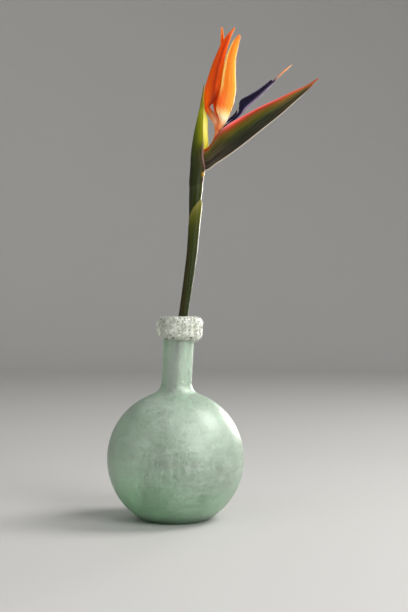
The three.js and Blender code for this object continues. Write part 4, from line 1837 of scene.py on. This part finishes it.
@dataclass(frozen=True)
class UpperBract:
    """The upright bract that clasps the node and ends in a point.

    Rows hold height, the keel's place, the edges' place, half the breadth, how far its section sweeps
    round in degrees, and how askew it stands.
    """

    rows: Rows = (
        (323, 38.6, 50.0, 6.3, 178, 0),
        (328, 38.35, 51.0, 6.9, 178, 0),
        (331.6, 38.2, 51.9, 7.3, 178, 0),
        (338, 38.6, 52.9, 7.6, 176, 0),
        (341, 38.8, 53.4, 7.75, 170, 0),
        (345, 39.1, 54.0, 7.9, 150, 0),
        (350, 39.5, 54.6, 8.2, 130, 0.15),
        (357, 40.1, 55.5, 8.5, 114, 0.4),
        (368, 41.1, 55.7, 8.9, 102, 0.33),
        (375, 42.1, 55.4, 8.6, 96, 0.3),
        (386, 44.0, 55.0, 7.6, 92, 0.33),
        (396, 46.3, 55.1, 6.4, 90, 0.38),
        (404, 47.8, 54.4, 5.2, 88, 0.3),
        (410, 49.0, 53.2, 4.4, 86, -0.15),
        (416, 50.1, 52.7, 3.4, 84, -0.2),
        (425, 51.8, 53.3, 2.1, 80, -0.2),
        (432.5, 52.9, 54.1, 1.3, 75, 0),
    )
    wall: float = 0.9
    least_half: float = 0.35

    def surface(self, u: np.ndarray, v: np.ndarray) -> np.ndarray:
        """Hollow face of the bract.

        Args:
            u: share of the way up.
            v: share of the way from one edge to the other.

        Returns:
            The points.
        """
        table = Ladder(self.rows)
        height = table.place(u)
        keel, edge, half, sweep, skew = table.read(height)
        limit = np.radians(sweep)
        turn = limit * np.abs(2 * v - 1)
        inner = keel + self.wall
        x = inner + (edge - inner) * (1 - np.cos(turn)) / (1 - np.cos(limit))
        y = np.sign(2 * v - 1) * np.maximum(half - self.wall, self.least_half) * np.sin(turn)
        return stacked(x + skew * y, y, height)

    def build(self, plane: Matrix) -> list[Object]:
        """Makes the bract.

        Args:
            plane: place of the flower's frame in the world.

        Returns:
            The one piece.
        """
        cut = BladeCut(
            rows=240, columns=97, side=Side.BEFORE, wall=self.wall, margin=0.3,
            ribs=18, rib_height=0.05,
        )
        bract = cut.make(self.surface).piece("clasping_bract", plane)
        return [dress(bract, "upper_bract", BractSkin().material())]


@dataclass(frozen=True)
class Beak:
    """The hollow boat-shaped spathe, and the fleshy foot of the flower inside it.

    Rows hold the share of the length, the keel's place and height, the edges' place and height, half
    the breadth, and how far the section sweeps round in degrees. Foot rows hold the share of the
    foot's length, its place and height, and its radius.
    """

    rows: Rows = (
        (0, 51.2, 344.7, 53.0, 364.8, 5.2, 150),
        (0.03, 54.6, 344.4, 58.2, 368.2, 5.6, 146),
        (0.1, 64.0, 350.4, 65.2, 378.2, 6.8, 124),
        (0.18, 74.5, 357.2, 72.6, 386.2, 7.7, 122),
        (0.26, 84.8, 364.6, 80.4, 392.2, 8.1, 136),
        (0.35, 96.5, 373.6, 91.0, 398.5, 8.0, 152),
        (0.48, 113.0, 387.0, 108.0, 408.0, 7.4, 164),
        (0.62, 130.0, 400.8, 126.5, 416.6, 6.2, 166),
        (0.76, 145.5, 414.8, 144.0, 425.2, 4.5, 166),
        (0.88, 157.5, 426.0, 157.0, 431.1, 2.5, 164),
        (1, 169.6, 438.6, 169.8, 439.4, 0.9, 150),
    )
    foot_rows: Rows = (
        (0, 48.0, 344.8, 1.5),
        (0.12, 50.6, 349.2, 1.7),
        (0.3, 55.4, 356.8, 2.1),
        (0.66, 63.4, 371.2, 2.5),
        (0.9, 66.8, 381.5, 3.0),
        (1, 67.8, 386.0, 2.2),
    )
    wall: float = 1.1
    tip_thinning: float = 0.5
    crowding: float = 1.15
    fullness: float = 1.3
    least_half: float = 0.3
    foot_rib: float = 0.06

    def thickness(self, u: np.ndarray) -> np.ndarray:
        """Wall of the beak, thinner towards its tip."""
        return self.wall - self.tip_thinning * smooth(u, 0.75, 1.0)

    def surface(self, u: np.ndarray, v: np.ndarray) -> np.ndarray:
        """Hollow face of the beak.

        Args:
            u: share of the rows from foot to tip.
            v: share of the way from one edge to the other.

        Returns:
            The points.
        """
        keel_x, keel_z, edge_x, edge_z, half, sweep = Ladder(self.rows).read(u**self.crowding)
        keel, edge = stacked(keel_x, 0.0, keel_z), stacked(edge_x, 0.0, edge_z)
        rise = edge - keel
        length = np.linalg.norm(rise, axis=-1)
        keel = keel + unit(rise) * np.minimum(self.thickness(u), length * 0.3)[..., None]
        limit = np.radians(sweep)
        turn = limit * np.abs(2 * v - 1)
        share = ((1 - np.cos(turn)) / (1 - np.cos(limit)))[..., None]
        point = keel + (edge - keel) * share
        room = np.maximum(half - self.thickness(u), self.least_half)
        point[..., 1] = np.sign(2 * v - 1) * room * np.sin(turn) ** self.fullness
        return point

    def rise(self, shell: Skin) -> np.ndarray:
        """Height of the shell's points over the keel, from 0 to 1 at the edges."""
        limit = np.radians(Ladder(self.rows).read(shell.marks[Mark.ALONG] ** self.crowding)[5])
        return (1 - np.cos(limit * np.abs(shell.marks[Mark.ACROSS]))) / (1 - np.cos(limit))

    def build(self, plane: Matrix) -> list[Object]:
        """Makes the beak and the flower's foot.

        Args:
            plane: place of the flower's frame in the world.

        Returns:
            The two pieces.
        """
        cut = BladeCut(
            rows=300, columns=121, side=Side.BEHIND, wall=self.wall, margin=0.45,
            ribs=22, rib_height=0.05, keel_height=0.25, keel_width=0.03,
        )
        shell = cut.make(self.surface, self.thickness)
        shell.marks[Mark.RISE] = self.rise(shell)
        beak = shell.piece("beak", plane)
        x, z, radius = Ladder(self.foot_rows).read(np.linspace(0, 1, 60))
        foot_cut = LimbCut(sides=36, ribs=6, rib_height=self.foot_rib)
        foot = foot_cut.make(stacked(x, 0.0, z), radius - self.foot_rib).piece("fleshy_foot", plane)
        return [
            dress(beak, "spathe", SpatheSkin().material()),
            dress(foot, "flower_base", FleshSkin().material()),
        ]


@dataclass(frozen=True)
class Sepal:
    """One boat-folded sepal.

    Rows hold height, the keel's place in x and y, and the breadth of the wing on either side, in
    millimetres. The keel points keel_turn degrees round, and each wing folds back to fold degrees.
    """

    kind: SepalKind
    rows: Rows
    keel_turn: float
    fold: float
    wall: float = 0.7
    crease: float = 1.8
    most_crease: float = 0.5
    bulge: float = 0.09

    def keel(self, share: np.ndarray, outward: np.ndarray) -> np.ndarray:
        """Keel of the hollow face, one wall inside the keel's outline.

        Args:
            share: shares of the way up.
            outward: the level direction that the keel points in.

        Returns:
            The points.
        """
        table = Ladder(self.rows)
        height = table.place(share)
        x, y, _, _ = table.read(height)
        return stacked(x, y, height) - outward * self.wall

    def surface(self, u: np.ndarray, v: np.ndarray) -> np.ndarray:
        """Hollow face of the sepal.

        Args:
            u: share of the way up.
            v: share of the way from one edge to the other.

        Returns:
            The points.
        """
        table = Ladder(self.rows)
        fold = math.radians(self.fold)
        azimuth = math.radians(self.keel_turn)
        outward = np.array([math.cos(azimuth), math.sin(azimuth), 0.0])

        _, _, plus, minus = table.read(table.place(u))
        ahead, behind = np.minimum(u + 0.01, 1), np.maximum(u - 0.01, 0)
        along = unit(self.keel(ahead, outward) - self.keel(behind, outward))
        out = unit(outward - along * (along @ outward)[..., None])
        aside = np.cross(along, out)
        across = 2 * v - 1
        breadth = np.where(across > 0, plus, minus)
        crease = np.minimum(self.most_crease, self.crease / breadth)
        inward = breadth * (np.hypot(across, crease) - crease) * math.cos(fold)
        belly = self.bulge * breadth * np.sin(math.pi * np.abs(across))
        sideways = breadth * across * math.sin(fold) + np.sign(across) * belly * math.cos(fold)
        outwards = belly * math.sin(fold) - inward
        return self.keel(u, outward) + out * outwards[..., None] + aside * sideways[..., None]

    def build(self, plane: Matrix) -> Object:
        """Makes the sepal.

        Args:
            plane: place of the flower's frame in the world.

        Returns:
            The piece.
        """
        node = self.kind.value
        cut = BladeCut(
            rows=240, columns=81, side=Side.BEHIND, wall=self.wall, margin=0.25,
            ribs=9, rib_height=0.05, keel_height=0.12, waviness=0.05, seed=self.keel_turn,
        )
        piece = cut.make(self.surface).piece(f"orange_{node}", plane)
        return dress(piece, node, SepalSkin(node, kind=self.kind).material())


@dataclass(frozen=True)
class SepalFan:
    """The three orange sepals, by their rows, the way that each keel points and how far each folds."""

    front: Rows = (
        (384, 68.6, -2.6, 1.2, 2.2),
        (388, 71.6, -3.2, 1.4, 4.0),
        (392, 74.6, -4.2, 1.4, 7.0),
        (397, 77.2, -4.8, 2.0, 11.0),
        (403, 79.2, -5.2, 3.0, 14.6),
        (411, 81.6, -5.2, 9.0, 16.3),
        (420, 83.2, -5.2, 13.8, 15.2),
        (430, 84.3, -5.2, 14.6, 14.2),
        (443, 84.0, -5.2, 13.0, 12.0),
        (456, 84.2, -5.2, 10.6, 9.6),
        (467, 86.0, -5.2, 7.6, 7.4),
        (476, 88.4, -5.2, 4.8, 5.4),
        (482.6, 90.3, -5.2, 1.4, 1.6),
    )
    left: Rows = (
        (384, 64.6, 0.5, 2.4, 1.8),
        (390, 64.1, 0.7, 4.2, 2.2),
        (397, 61.1, 1.0, 6.4, 3.4),
        (403, 57.2, 1.2, 6.0, 5.0),
        (408, 54.6, 1.3, 5.8, 7.4),
        (413, 53.5, 1.3, 10.4, 10.4),
        (419, 53.4, 1.3, 15.0, 13.0),
        (427, 54.2, 1.3, 16.4, 14.5),
        (436, 56.3, 1.3, 15.8, 14.2),
        (444, 58.7, 1.3, 14.4, 12.0),
        (454, 62.0, 1.3, 12.2, 8.8),
        (463, 65.6, 1.3, 10.4, 6.8),
        (472, 69.6, 1.3, 8.6, 5.8),
        (483, 76.0, 1.3, 5.6, 4.2),
        (492.4, 84.0, 1.3, 1.0, 1.0),
    )
    back: Rows = (
        (384.5, 67.5, 4.5, 1.7, 1.7),
        (391, 68.0, 7.2, 2.7, 2.7),
        (400, 67.8, 11.2, 6.5, 6.5),
        (411, 67.8, 14.0, 11.0, 11.0),
        (422, 68.1, 15.4, 12.8, 12.8),
        (436, 68.8, 16.2, 12.4, 12.4),
        (450, 69.9, 16.2, 10.2, 10.2),
        (464, 71.2, 15.4, 7.2, 7.2),
        (478, 72.2, 14.0, 4.0, 4.0),
        (488, 72.0, 12.6, 2.4, 2.4),
        (495.6, 71.6, 11.2, 0.8, 0.8),
    )
    keel_turns: tuple[float, float, float] = (-42, 210, 90)
    folds: tuple[float, float, float] = (43, 35, 25)

    def build(self, plane: Matrix) -> list[Object]:
        """Makes the three sepals.

        Args:
            plane: place of the flower's frame in the world.

        Returns:
            The three pieces.
        """
        sizes = zip(SepalKind, (self.front, self.left, self.back), self.keel_turns, self.folds)
        return [Sepal(*row).build(plane) for row in sizes]


@dataclass(frozen=True)
class BlueTongue:
    """The arrow-shaped blue tongue, the hood over its foot and the style in its groove.

    All three are measured along the tongue's axis, which starts at root and rises by rise degrees.
    Rows hold the distance along it, the keel's height over it and the breadth of a wing; style rows
    the distance, height and radius; and hood rows the distance, the crown's height and half the breadth.
    """

    root: tuple[float, float] = (70.0, 386.0)
    rise: float = 41.6
    wall: float = 0.8
    hood_wall: float = 0.6
    hood_sweep: float = 80.0
    fold: float = 44.0
    crease: float = 1.2
    most_crease: float = 0.6
    flare: float = 0.1
    rows: Rows = (
        (1, 0.8, 1),
        (6, -0.8, 1.4),
        (11, -2, 2.2),
        (17, -2.4, 3),
        (21, -2.5, 3.8),
        (25, -2.4, 4.8),
        (28, -2.35, 7),
        (29.8, -2.3, 10.6),
        (31.5, -2.25, 12.6),
        (34.5, -2.1, 13.5),
        (37.5, -1.85, 12.8),
        (42, -1.75, 11.4),
        (48, -1.65, 10),
        (54, -1.4, 8.5),
        (60, -1, 7.3),
        (66, -0.75, 6.6),
        (70.5, -0.5, 6.1),
        (72.2, -0.3, 5.6),
        (73.6, -0.1, 2.6),
        (75.5, 0.2, 1.2),
    )
    style_rows: Rows = (
        (4, 1.9, 0.55),
        (9, 0.8, 0.55),
        (15, -0.1, 0.55),
        (24, -0.35, 0.55),
        (31, -0.1, 0.6),
        (40, 0.3, 0.6),
        (50, 0.45, 0.6),
        (60, 1, 0.6),
        (68, 1.35, 0.6),
        (73, 1.75, 0.62),
        (76, 2.05, 0.68),
        (80, 1.8, 0.95),
        (84, 1.95, 1.1),
        (89, 2.1, 1.05),
        (94, 2, 0.8),
        (99.5, 1.7, 0.35),
    )
    hood_rows: Rows = (
        (9, 2.6, 1.5),
        (14, 2.2, 1.8),
        (19, 2.3, 2),
        (23, 2.8, 1.8),
        (26, 3.8, 0.9),
    )

    def on_tongue(self, along: np.ndarray, aside: np.ndarray, above: np.ndarray) -> np.ndarray:
        """Points by their place on the tongue's axis.

        Args:
            along: distances from the root.
            aside: distances sideways.
            above: heights over the axis.

        Returns:
            The points in the flower's frame.
        """
        rise = math.radians(self.rise)
        x = self.root[0] + along * math.cos(rise) - above * math.sin(rise)
        z = self.root[1] + along * math.sin(rise) + above * math.cos(rise)
        return stacked(x, aside, z)

    def tongue_surface(self, u: np.ndarray, v: np.ndarray) -> np.ndarray:
        """Hollow face of the tongue.

        Args:
            u: share of the way along.
            v: share of the way from one edge to the other.

        Returns:
            The points.
        """
        table = Ladder(self.rows)
        fold = math.radians(self.fold)
        along = table.place(u)
        keel, breadth = table.read(along)
        across = 2 * v - 1
        crease = np.minimum(self.most_crease, self.crease / breadth)
        above = keel + self.wall + breadth * (np.hypot(across, crease) - crease) * math.cos(fold)
        flare = self.flare * breadth * across**3
        return self.on_tongue(along, breadth * across * math.sin(fold) + flare, above)

    def hood_surface(self, u: np.ndarray, v: np.ndarray) -> np.ndarray:
        """Hollow face of the short hood.

        Args:
            u: share of the way along.
            v: share of the way from one edge to the other.

        Returns:
            The points.
        """
        table = Ladder(self.hood_rows)
        along = table.place(u)
        crown, half = table.read(along)
        turn = math.radians(self.hood_sweep) * (2 * v - 1)
        return self.on_tongue(along, half * np.sin(turn), crown - half * (1 - np.cos(turn)))

    def build(self, plane: Matrix) -> list[Object]:
        """Makes the tongue, its hood and the style.

        Args:
            plane: place of the flower's frame in the world.

        Returns:
            The three pieces.
        """
        cut = BladeCut(
            rows=260, columns=65, side=Side.BEHIND, wall=self.wall, margin=0.3,
            ribs=7, rib_height=0.03,
        )
        tongue = cut.make(self.tongue_surface).piece("blue_arrow", plane)
        hood_cut = BladeCut(rows=60, columns=33, side=Side.BEFORE, wall=self.hood_wall, margin=0.25)
        hood = hood_cut.make(self.hood_surface).piece("nectary_hood", plane)
        table = Ladder(self.style_rows)
        along = table.place(np.linspace(0, 1, 200))
        above, radius = table.read(along)
        line = self.on_tongue(along, np.zeros_like(along), above)
        style = LimbCut(sides=24).make(line, radius).piece("style_and_stigma", plane)
        blue = TongueSkin().material()
        return [
            dress(tongue, "blue_tongue", blue),
            dress(hood, "nectary_petal", blue),
            dress(style, "style", StyleSkin().material()),
        ]


# ---- the studio ----


@dataclass(frozen=True)
class Lamp:
    """A soft box: its place, aim and sides in metres, its power in watts, tint and spread in degrees."""

    name: str
    spot: tuple[float, float, float]
    aim: tuple[float, float, float]
    size: tuple[float, float]
    power: float
    tint: tuple[float, float, float] = (1.0, 1.0, 1.0)
    spread: float = 180.0

    def hang(self) -> Object:
        """Adds the lamp to the scene.

        Returns:
            The lamp.
        """
        data = bpy.data.lights.new(self.name, "AREA")
        data.shape = "RECTANGLE"
        data.size, data.size_y = self.size
        data.energy = self.power
        data.color = self.tint
        data.spread = math.radians(self.spread)
        lamp = bpy.data.objects.new(self.name, data)
        bpy.context.scene.collection.objects.link(lamp)
        lamp.location = self.spot
        gaze = Vector(self.aim) - Vector(self.spot)
        lamp.rotation_euler = gaze.to_track_quat("-Z", "Y").to_euler()
        lamp.visible_camera = False
        return lamp


@dataclass(frozen=True)
class Studio:
    """A pale round sweep of floor, soft lamps and the camera."""

    floor_radius: float = 2.6
    sweep: float = 0.9
    wall_top: float = 3.4
    steps_round: int = 96
    pale: Colour = (0.75, 0.745, 0.735)
    paler: Colour = (0.84, 0.83, 0.82)
    air: Colour = (0.90, 0.91, 0.92)
    air_strength: float = 0.5
    lens: float = 67.65
    eye: tuple[float, float, float] = (0.0284, -1.15, 0.2125)

    def lamps(self) -> tuple[Lamp, ...]:
        """The soft boxes: a key at the right, one nearer the front, a rim lamp and a weak fill."""
        return (
            Lamp("key", (1.45, 0.25, 1.65), (0.0, 0.0, 0.2), (1.0, 1.0), 38.0, (1.0, 0.985, 0.96)),
            Lamp("side", (1.25, -1.35, 1.05), (0.0, 0.0, 0.35), (1.1, 1.1), 28.0),
            Lamp("rim", (0.62, 1.05, 0.52), (0.02, 0.0, 0.49), (0.3, 0.6), 1.1, (1.0, 0.98, 0.94), 40.0),
            Lamp("fill", (-1.2, -1.2, 1.0), (0.0, 0.0, 0.2), (1.4, 1.4), 4.0, (0.96, 0.98, 1.0)),
        )

    def floor(self) -> Object:
        """The pale floor, which curves up into a wall all round.

        Returns:
            The floor.
        """
        count = self.steps_round
        flat = np.linspace(0, self.floor_radius, 12)
        curve = arc((self.floor_radius, self.sweep), self.sweep, -90, 0, 16)[1:]
        profile = [(r, 0.0) for r in flat] + [tuple(p) for p in curve]
        profile += [(self.floor_radius + self.sweep, self.wall_top)]
        angle = np.linspace(0, 2 * math.pi, count, endpoint=False)
        points = [stacked(r * np.cos(angle), r * np.sin(angle), z) for r, z in profile[1:]]
        cloud = np.concatenate([np.array([[0.0, 0.0, 0.0]]), *points])
        faces = grid_faces(len(profile) - 1, count, 1, True)
        faces += [(0, 1 + j, 1 + (j + 1) % count) for j in range(count)]
        low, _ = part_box("vase_bottle")
        floor = Skin(cloud, faces, {}).piece("floor", Matrix.Translation((0, 0, low.z)))
        g = Graph("pale_floor")
        mottle = g.times(g.grain(g.place(), 3.0, 2.0), 0.1)
        g.drive(Base_Color=g.mix(mottle, self.pale, self.paler))
        g.fix(Roughness=0.6)
        floor.data.materials.append(g.material)
        return floor

    def air_light(self) -> None:
        """Even pale light from all round."""
        world = bpy.data.worlds.new("air")
        world.use_nodes = True
        back = world.node_tree.nodes["Background"]
        back.inputs["Color"].default_value = linear(self.air)
        back.inputs["Strength"].default_value = self.air_strength
        bpy.context.scene.world = world

    def camera(self) -> Object:
        """The camera, level, looking along +Y.

        Returns:
            The camera.
        """
        data = bpy.data.cameras.new("camera")
        data.lens = self.lens
        data.sensor_width = 36.0
        data.clip_end = 50.0
        camera = bpy.data.objects.new("camera", data)
        camera.location = self.eye
        camera.rotation_euler = (math.radians(90), 0, 0)
        bpy.context.scene.collection.objects.link(camera)
        bpy.context.scene.camera = camera
        return camera

    def build(self) -> None:
        """Sets the stage."""
        self.floor()
        self.air_light()
        for lamp in self.lamps():
            lamp.hang()
        self.camera()
        bpy.context.scene.view_settings.view_transform = "Standard"


def main() -> None:
    """Builds every piece in order and reports it."""
    logging.basicConfig(level=logging.INFO, format="%(name)s: %(message)s")
    Studio().build()
    plane = FlowerPlane().matrix()
    stalk = Stalk()
    made = BottleVase().build(stalk, plane)
    for part in (stalk, UpperBract(), Beak(), SepalFan(), BlueTongue()):
        made += part.build(plane)
    for piece in made:
        report(piece)


if __name__ == "__main__":
    main()
